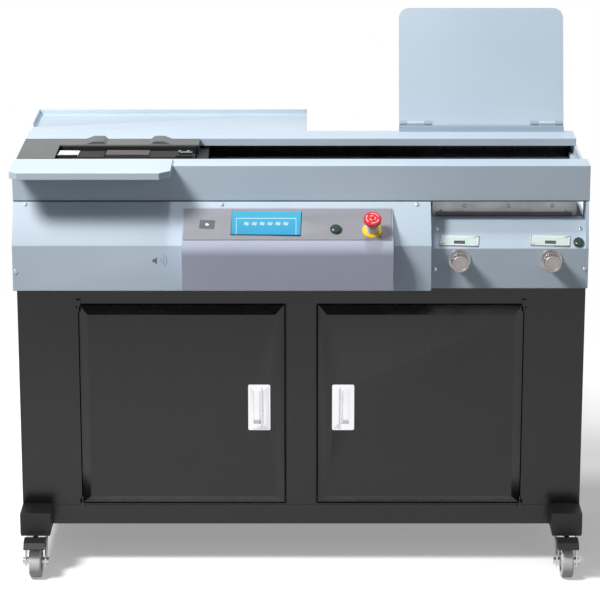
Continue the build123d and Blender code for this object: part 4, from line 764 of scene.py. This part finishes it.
def cross_screw(radius, height=2.4, slot=2.6, slot_width=0.75, depth=1.3, turn=0.4, rows=22, around=48):
    """A pan head screw: over a polar grid the height goes with the square root of one less three quarters
    of the cube of the share of the radius. A cross-shaped dip comes off it, whose walls are straight ramps
    from the edges and ends of the two slots."""
    share = np.concatenate([np.linspace(0, 1, rows) ** 0.8, [1.0]])[:, None]
    angle = np.linspace(0, 2 * np.pi, around, endpoint=False)[None, :]
    across = share * radius * np.cos(angle)
    along = share * radius * np.sin(angle)
    rise = height * np.sqrt(np.maximum(1 - 0.75 * share ** 3, 0.0)) * np.ones_like(angle)
    first = np.cos(turn) * across + np.sin(turn) * along
    second = np.cos(turn) * along - np.sin(turn) * across
    side_ramp, end_ramp = 0.35, 0.5
    dips = []
    for beside, endwise in ((first, second), (second, first)):
        dips.append(np.clip((slot_width - np.abs(beside)) / side_ramp, 0, 1)
                    * np.clip((slot - np.abs(endwise)) / end_ramp, 0, 1))
    rise = rise - depth * np.maximum(*dips)
    rise[-1] = 0.0
    points = np.stack([across, along, rise], axis=-1).reshape(-1, 3)
    faces = grid_quads(rows + 1, around).tolist()
    faces.append(list(range(rows * around, (rows + 1) * around)))
    return points, faces


def dome_button(radius, height, crown, shoulder=1.0):
    """A push button's cap: a straight wall, a quarter circle as its shoulder, and a crown whose height
    falls from the middle with the square of the radius."""
    flat = radius - shoulder
    bend = arc_profile(shoulder, (flat, height - crown - shoulder), 0, 90, 5)
    reach = np.linspace(flat, 0.0, 9)
    top = height - crown + crown * (1 - (reach / flat) ** 2)
    return turned([(0.0, 0.0), (radius, 0.0)] + bend + np.stack([reach, top], axis=1)[1:].tolist())


def ring_profile(inner, outer, height, edge=0.6):
    """The section of a flat ring: a rectangle whose two upper corners are quarter circles."""
    outside = arc_profile(edge, (outer - edge, height - edge), 0, 90, 4)
    inside = arc_profile(edge, (inner + edge, height - edge), 90, 180, 4)
    return [(inner, 0.0), (outer, 0.0)] + outside + inside + [(inner, 0.0)]


# Console

def screen_pieces():
    """The screen's rim, its glass and a row of plain marks: rectangles with round corners, each raised
    a little over the one below it. A block behind the rim fills the opening in the panel."""
    x, along, width, height = SCREEN
    rim_top, glass_top, mark_top = 4.1, 4.5, 4.56
    mark_count, mark_step = 6, 17.5
    rim = slab(box_outline(width, height, radius=3.0), rim_top, 0.8)
    rear = slab(box_outline(width - 10, 44, radius=1.0), 1.0, 0.4, foot=-22.0)
    both = join(on_face(CONSOLE_FACE, rim, x, along), on_face(CONSOLE_FACE, rear, x, 55.0))
    make_piece("screen_rim", both, "rim_teal", "frame", ["touch_screen"])
    glass = slab(box_outline(width - 2.6, height - 2.6, radius=2.0), glass_top, 0.25, foot=4.0)
    make_piece("screen_glass", on_face(CONSOLE_FACE, glass, x, along), "screen", "frame")
    marks = [slab(box_outline(13.0, 11.5, mark_step * i, 0.0, radius=3.0), mark_top, 0.02, 2, 4.45)
             for i in np.arange(mark_count) - (mark_count - 1) / 2]
    make_piece("screen_marks", on_face(CONSOLE_FACE, join(*marks), x, along + 2.0), "lit_mark", "frame")


def moulding(outline, section):
    """A closed section of (inset, height) points swept round an outline."""
    rings = [np.column_stack([inset_outline(outline, inset), np.full(len(outline), height)])
             for inset, height in section + section[:1]]
    return np.concatenate(rings), grid_quads(len(rings), len(outline)).tolist()


def panel_pieces():
    """The console's film with a dark line round it, a thin rectangle swept round an outline that stands
    for the painted shade at the film's edge, and the plain label with its dot, both rectangles with round
    corners raised over the film."""
    softened("control_panel", 0.3, rings=[standing_ring(CONSOLE_FACE, START_BUTTON, 1.5)])
    middle = (CONSOLE_LEFT + CONSOLE_RIGHT) / 2
    outline = box_outline(CONSOLE_RIGHT - CONSOLE_LEFT - 4.6, 89.0, radius=2.5)
    # Painted shade: a grey line round the film where its edge lies in shade
    border = moulding(outline, [(0.0, 0.0), (0.0, 1.1), (1.6, 1.1), (1.6, 0.0)])
    make_piece("panel_edge_shade", on_face(CONSOLE_FACE, border, middle, 48.5), "print_grey", "frame")
    label = slab(box_outline(36.0, 27.0, radius=2.0), 1.7, 0.1, foot=1.45)
    dot = slab(box_outline(10.0, 8.0, radius=3.9), 1.8, 0.05, foot=1.65)
    make_piece("plain_label", on_face(CONSOLE_FACE, label, *LABEL), "label_grey", "frame")
    make_piece("plain_label_dot", on_face(CONSOLE_FACE, dot, *LABEL), "print_white", "frame")


def push_button_shapes(radius, base):
    """A button's fixed ring, its cap with its stem, and a painted glint on the cap's lower left: a pale
    raised rectangle with round corners that stands for a highlight. The first three are turned profiles.
    The cap's foot stays clear of the face by more than the button's travel."""
    section = np.array(ring_profile(radius + 0.2, radius + 1.6, 4.4, 0.6))
    ring = turned(section + np.array([0.0, base]))
    points, faces = dome_button(radius, 3.6, 1.2)
    cap = points + np.array([0.0, 0.0, base + 3.5]), faces
    stem = turned([(0.0, -25.0), (6.0, -25.0), (6.0, base + 4.0), (0.0, base + 4.0)], 24)
    # A painted highlight: a pale patch where a lamp's glint sits on the cap
    painted_glint = slab(box_outline(5.0, 3.4, radius=1.6), base + 6.9, 0.1, 3, base + 4.5)
    return ring, join(cap, stem), painted_glint


def push_button_pieces(node, face, place, radius, base, glint_shift):
    """A button's ring, cap and painted glint, stood on a sloping face; the cap and its glint move with the
    button."""
    x, along = place
    ring, cap, painted_glint = push_button_shapes(radius, base)
    glint_x, glint_along = x - glint_shift[0], along + glint_shift[1]
    make_piece(node + "_ring", on_face(face, ring, x, along), "button_green", "frame")
    make_piece(node + "_lens", on_face(face, cap, x, along), "button_green", node, [node])
    # The painted glint rides on the cap
    make_piece(node + "_spot", on_face(face, painted_glint, glint_x, glint_along), "print_white", node)


def turn_arrow(start, sweep, inner, outer, height, foot, head=0.32, steps=14):
    """A flat curved arrow in radians: points at cosine and sine of an angle, out along the outer
    radius, to a pointed head at the sweep's end, and back along the inner one."""
    angle = start + np.linspace(0, sweep - head, steps)
    middle = (inner + outer) / 2
    wide = (outer - inner) * 0.95
    out = np.stack([outer * np.cos(angle), outer * np.sin(angle)], axis=1)
    back = np.stack([inner * np.cos(angle), inner * np.sin(angle)], axis=1)[::-1]
    neck, tip = start + sweep - head, start + sweep
    point = [((middle + wide) * math.cos(neck), (middle + wide) * math.sin(neck)),
             (middle * math.cos(tip), middle * math.sin(tip)),
             ((middle - wide) * math.cos(neck), (middle - wide) * math.sin(neck))]
    return slab(np.concatenate([out, point, back]), height, 0.03, 2, foot)


def stop_crown(radius):
    """The height of the stop head over the console's face: its top, less the crown's rise times the
    square of the share of the radius."""
    return STOP_TOP - STOP_CROWN * (radius / STOP_RADIUS) ** 2


def stop_pieces():
    """The emergency stop: disc, collar and mushroom head are profiles turned about its axis, the head's
    edge of two arcs under its crown. Two rings of arrows lie on the crown, each point raised to the
    crown's height."""
    x, along = STOP
    disc = on_face(CONSOLE_FACE, turned(STOP_DISC), x, along)
    make_piece("stop_disc", disc, "estop_base", "frame", ["estop_collar"])
    collar = on_face(CONSOLE_FACE, turned(STOP_COLLAR), x, along)
    make_piece("stop_collar", collar, "collar_white", "frame")
    reach = np.linspace(STOP_RADIUS - 1.6, 0.0, 12)
    crown = np.stack([reach, stop_crown(reach)], axis=1).tolist()
    under = [(0.0, 37.9), (6.1, 37.9), (6.1, 34.2), (15.5, 33.4)]
    lower_edge = arc_profile(2.5, (17.5, 36.3), -90, 0, 5)
    upper_edge = arc_profile(2.6, (17.4, 40.5), 5, 60, 6)
    head = turned(under + lower_edge + [(STOP_RADIUS, 40.2)] + upper_edge + crown, 64)
    make_piece("stop_head", on_face(CONSOLE_FACE, head, x, along), "estop_red", "estop_head",
               ["estop_head"])
    third = 2 * math.pi / 3
    outer = [turn_arrow(0.35 + k * third, 1.6, 12.4, 14.6, 0.12, -0.4) for k in range(3)]
    inner = [turn_arrow(1.3 + k * third, 1.3, 5.2, 7.4, 0.12, -0.4) for k in range(3)]
    points, faces = join(*outer, *inner)
    points[:, 2] += stop_crown(np.hypot(points[:, 0], points[:, 1]))
    arrows = on_face(CONSOLE_FACE, (points, faces), x, along)
    make_piece("stop_arrows", arrows, "stop_print", "estop_head")


class BINDER_OT_console(bpy.types.Operator):
    """Make the console's film, screen, start button and emergency stop"""
    bl_idname = "binder.console"
    bl_label = "Console"

    def execute(self, context):
        panel_pieces()
        screen_pieces()
        push_button_pieces("start_button", CONSOLE_FACE, START_BUTTON, 10.9, 1.5, (6.0, 5.0))
        stop_pieces()
        return {"FINISHED"}


# Nip station controls

def counter_pieces():
    """The two counters: border, face, dark window and its bars are rectangles with round corners, each
    raised a little over the one below it."""
    borders, faces, windows, marks = [], [], [], []
    border = slab(box_outline(90, 27.6, radius=3.0), 3.0, 0.6)
    face = slab(box_outline(82, 18.6, radius=2.0), 3.2, 0.15, foot=2.9)
    window = slab(box_outline(25, 8, 0.0, -4.1, radius=0.6), 3.5, 0.15, foot=3.0)
    bars = join(*[slab(box_outline(2.2, 4.6, -9.0 + 3.6 * i, -4.1, radius=0.3), 3.56, 0.02, 2, 3.45)
                  for i in range(6)])
    for place in COUNTERS:
        for shape, shapes in ((border, borders), (face, faces), (window, windows), (bars, marks)):
            shapes.append(on_face(NIP_FACE, shape, *place))
    make_piece("counter_borders", join(*borders), "collar_white", "frame", ["counter_units"])
    make_piece("counter_faces", join(*faces), "counter_plastic", "frame")
    make_piece("counter_windows", join(*windows), "window_black", "frame")
    make_piece("counter_segments", join(*marks), "print_grey", "frame")


def knob_shape(flutes):
    """The adjusting knob, a profile turned about its spindle: a skirt with two quarter circles, a
    fluted barrel, a lip, another quarter circle and a dished front."""
    skirt = [(0.0, 0.3), (18.2, 0.3)] + arc_profile(0.8, (18.2, 1.1), -90, 0, 4) + [(19.0, 6.5)]
    skirt += arc_profile(0.8, (18.2, 6.5), 0, 90, 4) + [(17.8, 7.6)]
    barrel = [(17.8, 8.0 + 1.2 * i) for i in range(19)]
    lip = [(17.6, 30.6), (18.6, 31.2), (19.0, 32.0), (19.0, 35.6)]
    lip += arc_profile(2.4, (16.6, 36.3), 0, 90, 7)
    dish = [(14.2, 38.7), (13.4, 37.7), (3.0, 37.2), (0.0, 37.2)]
    profile = skirt + barrel + lip + dish
    return turned(profile, around=144, flutes=flutes, flute_depth=1.7, flute_span=(8.0, 30.4))


def dial_ticks(count):
    """Short marks on a dial ring, every sixth one longer and wider: each is a thin rectangle along the
    radius that points at the cosine and sine of its angle."""
    marks = []
    outer = 24.0
    for i in range(count):
        angle = 2 * math.pi * i / count
        inner = 21.2 if i % 6 else 19.9
        radial = np.array([math.cos(angle), math.sin(angle)])
        side = np.array([-radial[1], radial[0]]) * (0.22 if i % 6 else 0.4)
        corners = np.array([radial * inner - side, radial * outer - side,
                            radial * outer + side, radial * inner + side])
        marks.append(slab(corners, 3.08, 0.02, 2, 2.95))
    return join(*marks)


def knob_pieces(sizes):
    """The two knobs with their spindles, which turn, and the fixed dial rings behind them with their
    ticks."""
    rings, ticks = [], []
    spindle = turned([(0.0, -90.0), (5.0, -90.0), (5.0, 1.0), (0.0, 1.0)], 24)
    for (x, z), node in zip(KNOBS, ("left_knob", "right_knob")):
        shape = facing_front(join(knob_shape(sizes.knob_flutes), spindle), x, COVER_FRONT_Y - 3.0, z)
        make_piece(node + "_turned", shape, "knob_metal", node, [node])
        rings.append(facing_front(turned(ring_profile(5.3, 25.0, 3.0, 0.8), 64), x, COVER_FRONT_Y, z))
        ticks.append(facing_front(dial_ticks(sizes.tick_count), x, COVER_FRONT_Y, z))
    make_piece("dial_rings", join(*rings), "dial_satin", "frame")
    make_piece("dial_ticks", join(*ticks), "gasket", "frame")


class BINDER_OT_nip_controls(bpy.types.Operator):
    """Make the counters, the knobs with their dials and the side button"""
    bl_idname = "binder.nip_controls"
    bl_label = "Nip controls"

    def execute(self, context):
        counter_pieces()
        knob_pieces(context.scene.binder_sizes)
        push_button_pieces("side_button", NIP_FACE, SIDE_BUTTON, 9.9, 0.0, (5.5, 4.5))
        return {"FINISHED"}


# Fasteners and seams

def screw_pieces(sizes):
    """The screws in the covers, in the lower cover's edge and in the nip bar, and the bar's two thin
    strips, which are raised rectangles: a grey lower strip, and a black one that is painted shade in the
    gap under the bar."""
    head = cross_screw(sizes.screw_radius)
    heads = [on_face(COVER_FACE, head, x, 6.0) for x in (-615.6, -176.5, 259.5)]
    heads += [on_face(NIP_FACE, head, x, 22.0) for x in (304.6, 627.0)]
    heads += [facing_front(head, x, COVER_FRONT_Y, 721.0) for x in (300.0, 635.0)]
    make_piece("cover_screw_heads", join(*heads), "screw_zinc", "frame", ["cover_screws"])
    small = cross_screw(sizes.screw_radius * 0.7, height=1.6, slot=1.7, slot_width=0.5, depth=0.9)
    side = facing_front(cross_screw(4.8, height=2.6), -636.5, LOWER_COVER_Y, 725.0)
    make_piece("edge_screw_head", side, "screw_zinc", "frame")
    bar = [facing_front(head, x, NIP_BAR_Y, 846.5) for x in (369.4, 468.2, 567.4)]
    bar += [facing_front(small, x, NIP_BAR_Y, 835.5) for x in (316.5, 598.0)]
    make_piece("nip_bar_screw_heads", join(*bar), "screw_zinc", "nip_front")
    lower = slab(box_outline(NIP_BAR_WIDTH, 9.6, radius=0.5), 0.5, 0.15)
    make_piece("nip_bar_lower", facing_front(lower, NIP_BAR_X, NIP_BAR_Y, 828.0), "strip_grey",
               "nip_front")
    # Painted shade: a black strip where the gap under the nip bar lies in shade
    gap = slab(box_outline(NIP_BAR_WIDTH, 2.4, radius=0.3), 0.55, 0.1)
    make_piece("nip_bar_gap_shade", facing_front(gap, NIP_BAR_X, NIP_BAR_Y, 821.9), "gasket", "nip_front")


def seam_pieces():
    """Strips of painted shade in gaps: a small rectangle carried along x between its two ends under the
    fascia, and raised rectangles in the seam of the lower beam and in the gaps beside the doors."""
    # Painted shade: a grey strip where the gap under the fascia lies in shade
    section = np.array([(-1.0, 870.2), (0.0, 870.2), (0.0, 872.8), (-1.0, 872.8)])
    ends = np.array([-643.0, 643.0])
    points = np.stack([np.repeat(ends, 4), np.tile(section[:, 0], 2), np.tile(section[:, 1], 2)], axis=1)
    faces = grid_quads(2, 4).tolist() + [[3, 2, 1, 0], [4, 5, 6, 7]]
    make_piece("fascia_seam_shade", (points, faces), "seam_grey", "frame")
    # Painted shade: black strips in the lower beam's seam and in the gaps beside the doors
    beam = slab(box_outline(1146, 1.1, radius=0.2), 0.25, 0.05)
    make_piece("beam_seam_shade", facing_front(beam, 0.0, CABINET_Y, 146.7), "gasket", "frame")
    seal = slab(box_outline(3.0, DOOR_HIGH - DOOR_LOW, radius=0.4), 0.4, 0.1)
    door_gap_shades = [facing_front(seal, x, CABINET_Y, (DOOR_LOW + DOOR_HIGH) / 2) for x in (-34.5, 34.5)]
    make_piece("door_gap_shade", join(*door_gap_shades), "gasket", "frame")


def speaker_mark():
    """A plain sound mark pressed in the cover: the outline of a small cone with round corners, and
    three arcs between two radii, all raised a little and made 1.7 times larger."""
    outline = [(-9, -2.2), (-6, -2.2), (-2.5, -5.5), (-2.5, 5.5), (-6, 2.2), (-9, 2.2)]
    cone = slab(rounded(outline, 0.4, 3), 0.12, 0.03, 2)
    angle = np.radians(np.linspace(-48, 48, 15))
    arcs = []
    for reach in (3.5, 7.0, 10.5):
        out = np.stack([reach * np.cos(angle), reach * np.sin(angle)], axis=1)
        back = out[::-1] * (reach - 0.6) / reach
        arcs.append(slab(np.concatenate([out, back]), 0.12, 0.03, 2))
    points, faces = join(cone, *arcs)
    return points * np.array([1.7, 1.7, 1.0]), faces


class BINDER_OT_fasteners(bpy.types.Operator):
    """Make the screw heads, the painted shade strips in the seams and the door gaps, and the sound mark"""
    bl_idname = "binder.fasteners"
    bl_label = "Fasteners and seams"

    def execute(self, context):
        screw_pieces(context.scene.binder_sizes)
        seam_pieces()
        x, z = SOUND_MARK
        mark = facing_front(speaker_mark(), x, LOWER_COVER_Y, z)
        make_piece("sound_mark", mark, "print_grey", "frame")
        return {"FINISHED"}


# Stage

# Strengths of the studio, where 1 is white: the floor's own glow, the sky's light on the machine, and how
# bright the sky is in shiny faces
FLOOR_GLOW = 0.27
SKY_LIGHT = 0.19
SKY_MIRRORED = 0.8
# The floor turns from paper to plain white between these distances from the machine, in metres
PAPER_END = 1.3
WHITE_START = 2.4
# Name, place, aim, size, power, colour and whether shiny faces mirror it, in metres and watts
LAMPS = (
    ("key_lamp", (-2.0, -1.66, 3.5), (0.0, -0.1, 0.9), 0.9, 148.0, (1.0, 0.975, 0.945), True),
    ("top_lamp", (-0.1, -0.18, 4.2), (0.0, -0.18, 0.9), 0.4, 46.0, (1.0, 1.0, 1.0), False),
    ("fill_lamp", (1.6, -3.8, 2.2), (0.0, -0.1, 0.7), 2.4, 6.0, (1.0, 1.0, 1.0), True),
)


def camera_at(width=600, focal=2633.0, centre=(301.2, 277.8), place_y=-5728.3, height=2229.6, down=15.01):
    """The photograph's camera: its focal length and centre in pixels, its place in millimetres."""
    data = bpy.data.cameras.new("photo_camera")
    data.sensor_width = 36.0
    data.lens = focal / width * data.sensor_width
    data.shift_x = (width / 2 - centre[0]) / width
    data.shift_y = (centre[1] - width / 2) / width
    data.clip_end = 100.0
    camera = bpy.data.objects.new("photo_camera", data)
    camera.location = (0.0, (place_y + FASCIA_Y) * MM, height * MM)
    camera.rotation_euler = (math.radians(90 - down), 0.0, 0.0)
    bpy.context.scene.collection.objects.link(camera)
    bpy.context.scene.camera = camera


def area_lamp(name, place, aim, size, power, colour, mirrored):
    """A soft square lamp aimed at a point, in metres and watts, that shiny faces mirror or don't."""
    data = bpy.data.lights.new(name, "AREA")
    data.shape = "SQUARE"
    data.size = size
    data.energy = power
    data.color = colour
    lamp = bpy.data.objects.new(name, data)
    lamp.location = place
    lamp.visible_glossy = mirrored
    lamp.rotation_euler = (Vector(aim) - Vector(place)).to_track_quat("-Z", "Y").to_euler()
    bpy.context.scene.collection.objects.link(lamp)


def studio_floor_material():
    """Matt white studio floor. Near the machine the camera and mirrors see its paper with the shadows
    on it; with the distance from the machine, in metres, it turns to plain white. Light that it sends
    on to the machine is that of a darker floor, so that the machine's own shadows stay deep."""
    material, tree, output, place = new_material("matt_studio_floor")
    fibre = add_node(tree, "ShaderNodeTexNoise", {"Vector": place, "Scale": per_metre(300), "Detail": 2.0})
    tone = add_node(tree, "ShaderNodeMix",
                    {0: fibre.outputs["Fac"], 6: linear("#F6F6F6"), 7: linear("#FAFAFA")},
                    data_type="RGBA")
    paper = add_node(tree, "ShaderNodeBsdfDiffuse", {"Color": tone.outputs[2], "Roughness": 0.6})
    dim = add_node(tree, "ShaderNodeBsdfDiffuse", {"Color": linear("#626262")})
    haze = add_node(tree, "ShaderNodeEmission", {"Color": (1.0, 1.0, 1.0, 1.0), "Strength": FLOOR_GLOW})
    white = add_node(tree, "ShaderNodeEmission", {"Color": (1.0, 1.0, 1.0, 1.0), "Strength": 1.0})
    near = add_node(tree, "ShaderNodeAddShader", {0: paper.outputs["BSDF"], 1: haze.outputs["Emission"]})
    away = add_node(tree, "ShaderNodeVectorMath", {0: place}, operation="LENGTH")
    far = add_node(tree, "ShaderNodeMapRange",
                   {"Value": away.outputs["Value"], "From Min": PAPER_END, "From Max": WHITE_START},
                   interpolation_type="SMOOTHSTEP")
    shown = add_node(tree, "ShaderNodeMixShader",
                     {0: far.outputs["Result"], 1: near.outputs["Shader"], 2: white.outputs["Emission"]})
    path = add_node(tree, "ShaderNodeLightPath")
    seen = add_node(tree, "ShaderNodeMath",
                    {0: path.outputs["Is Camera Ray"], 1: path.outputs["Is Glossy Ray"]},
                    operation="MAXIMUM")
    mixed = add_node(tree, "ShaderNodeMixShader",
                     {0: seen.outputs[0], 1: dim.outputs["BSDF"], 2: shown.outputs["Shader"]})
    tree.links.new(mixed.outputs["Shader"], output.inputs["Surface"])
    return material


def studio_world():
    """A white sky for the camera and for reflections, and a plain pale one for the light."""
    world = bpy.data.worlds.new("studio")
    world.use_nodes = True
    tree = world.node_tree
    tree.nodes.clear()
    output = add_node(tree, "ShaderNodeOutputWorld")
    path = add_node(tree, "ShaderNodeLightPath")
    camera = add_node(tree, "ShaderNodeMath",
                      {0: path.outputs["Is Camera Ray"], 1: path.outputs["Is Transmission Ray"]},
                      operation="MAXIMUM")
    mirror = add_node(tree, "ShaderNodeMath", {0: path.outputs["Is Glossy Ray"], 1: SKY_MIRRORED},
                      operation="MULTIPLY")
    seen = add_node(tree, "ShaderNodeMath", {0: camera.outputs[0], 1: mirror.outputs[0]},
                    operation="MAXIMUM")
    strength = add_node(tree, "ShaderNodeMapRange",
                        {"Value": seen.outputs[0], "To Min": SKY_LIGHT, "To Max": 1.0})
    sky = add_node(tree, "ShaderNodeBackground",
                   {"Color": (1.0, 1.0, 1.0, 1.0), "Strength": strength.outputs["Result"]})
    tree.links.new(sky.outputs["Background"], output.inputs["Surface"])
    bpy.context.scene.world = world


def studio_floor(reach=30.0, rings=24, around=96):
    """A round floor: rings whose radius grows as a square, so that it is finer near the machine."""
    radius = (reach * np.linspace(0.0, 1.0, rings) ** 2)[:, None]
    angle = np.linspace(0, 2 * np.pi, around, endpoint=False)[None, :]
    places = (radius * np.cos(angle), radius * np.sin(angle), 0.0 * radius)
    points = np.stack(np.broadcast_arrays(*places), axis=-1)
    mesh = bpy.data.meshes.new("studio_floor")
    mesh.from_pydata(points.reshape(-1, 3).tolist(), [], grid_quads(rings, around).tolist())
    mesh.materials.append(studio_floor_material())
    tidy_mesh(mesh, math.radians(30))
    floor = bpy.data.objects.new("studio_floor", mesh)
    bpy.context.scene.collection.objects.link(floor)


class BINDER_OT_stage(bpy.types.Operator):
    """Set the studio floor, the lamps and the photograph's camera"""
    bl_idname = "binder.stage"
    bl_label = "Stage"

    def execute(self, context):
        camera_at()
        studio_world()
        studio_floor()
        for lamp in LAMPS:
            area_lamp(*lamp)
        context.scene.view_settings.view_transform = "Standard"
        return {"FINISHED"}


# Panel and registration

class BINDER_PT_panel(bpy.types.Panel):
    """Lists the machine's colours, sizes and pieces"""
    bl_idname = "BINDER_PT_panel"
    bl_label = "Binding machine"
    bl_space_type = "VIEW_3D"
    bl_region_type = "UI"
    bl_category = "Binder"

    def draw(self, context):
        for group in (context.scene.binder_colours, context.scene.binder_sizes):
            box = self.layout.box()
            for key in group.__annotations__:
                box.prop(group, key)
        for operator in OPERATORS:
            self.layout.operator(operator.bl_idname)


OPERATORS = (BINDER_OT_finishes, BINDER_OT_covers, BINDER_OT_doors, BINDER_OT_works, BINDER_OT_console,
             BINDER_OT_nip_controls, BINDER_OT_fasteners, BINDER_OT_stage)
CLASSES = (MachineColours, MachineSizes) + OPERATORS + (BINDER_PT_panel,)


def register():
    """Registers the classes and hangs their properties on the scene."""
    for entry in CLASSES:
        bpy.utils.register_class(entry)
    bpy.types.Scene.binder_colours = PointerProperty(type=MachineColours)
    bpy.types.Scene.binder_sizes = PointerProperty(type=MachineSizes)


def unregister():
    """Takes off what register added."""
    del bpy.types.Scene.binder_colours
    del bpy.types.Scene.binder_sizes
    for entry in reversed(CLASSES):
        bpy.utils.unregister_class(entry)


def main():
    """Makes every piece in order."""
    register()
    bpy.ops.binder.finishes()
    bpy.ops.binder.covers()
    bpy.ops.binder.doors()
    bpy.ops.binder.works()
    bpy.ops.binder.console()
    bpy.ops.binder.nip_controls()
    bpy.ops.binder.fasteners()
    bpy.ops.binder.stage()


if __name__ == "__main__":
    main()
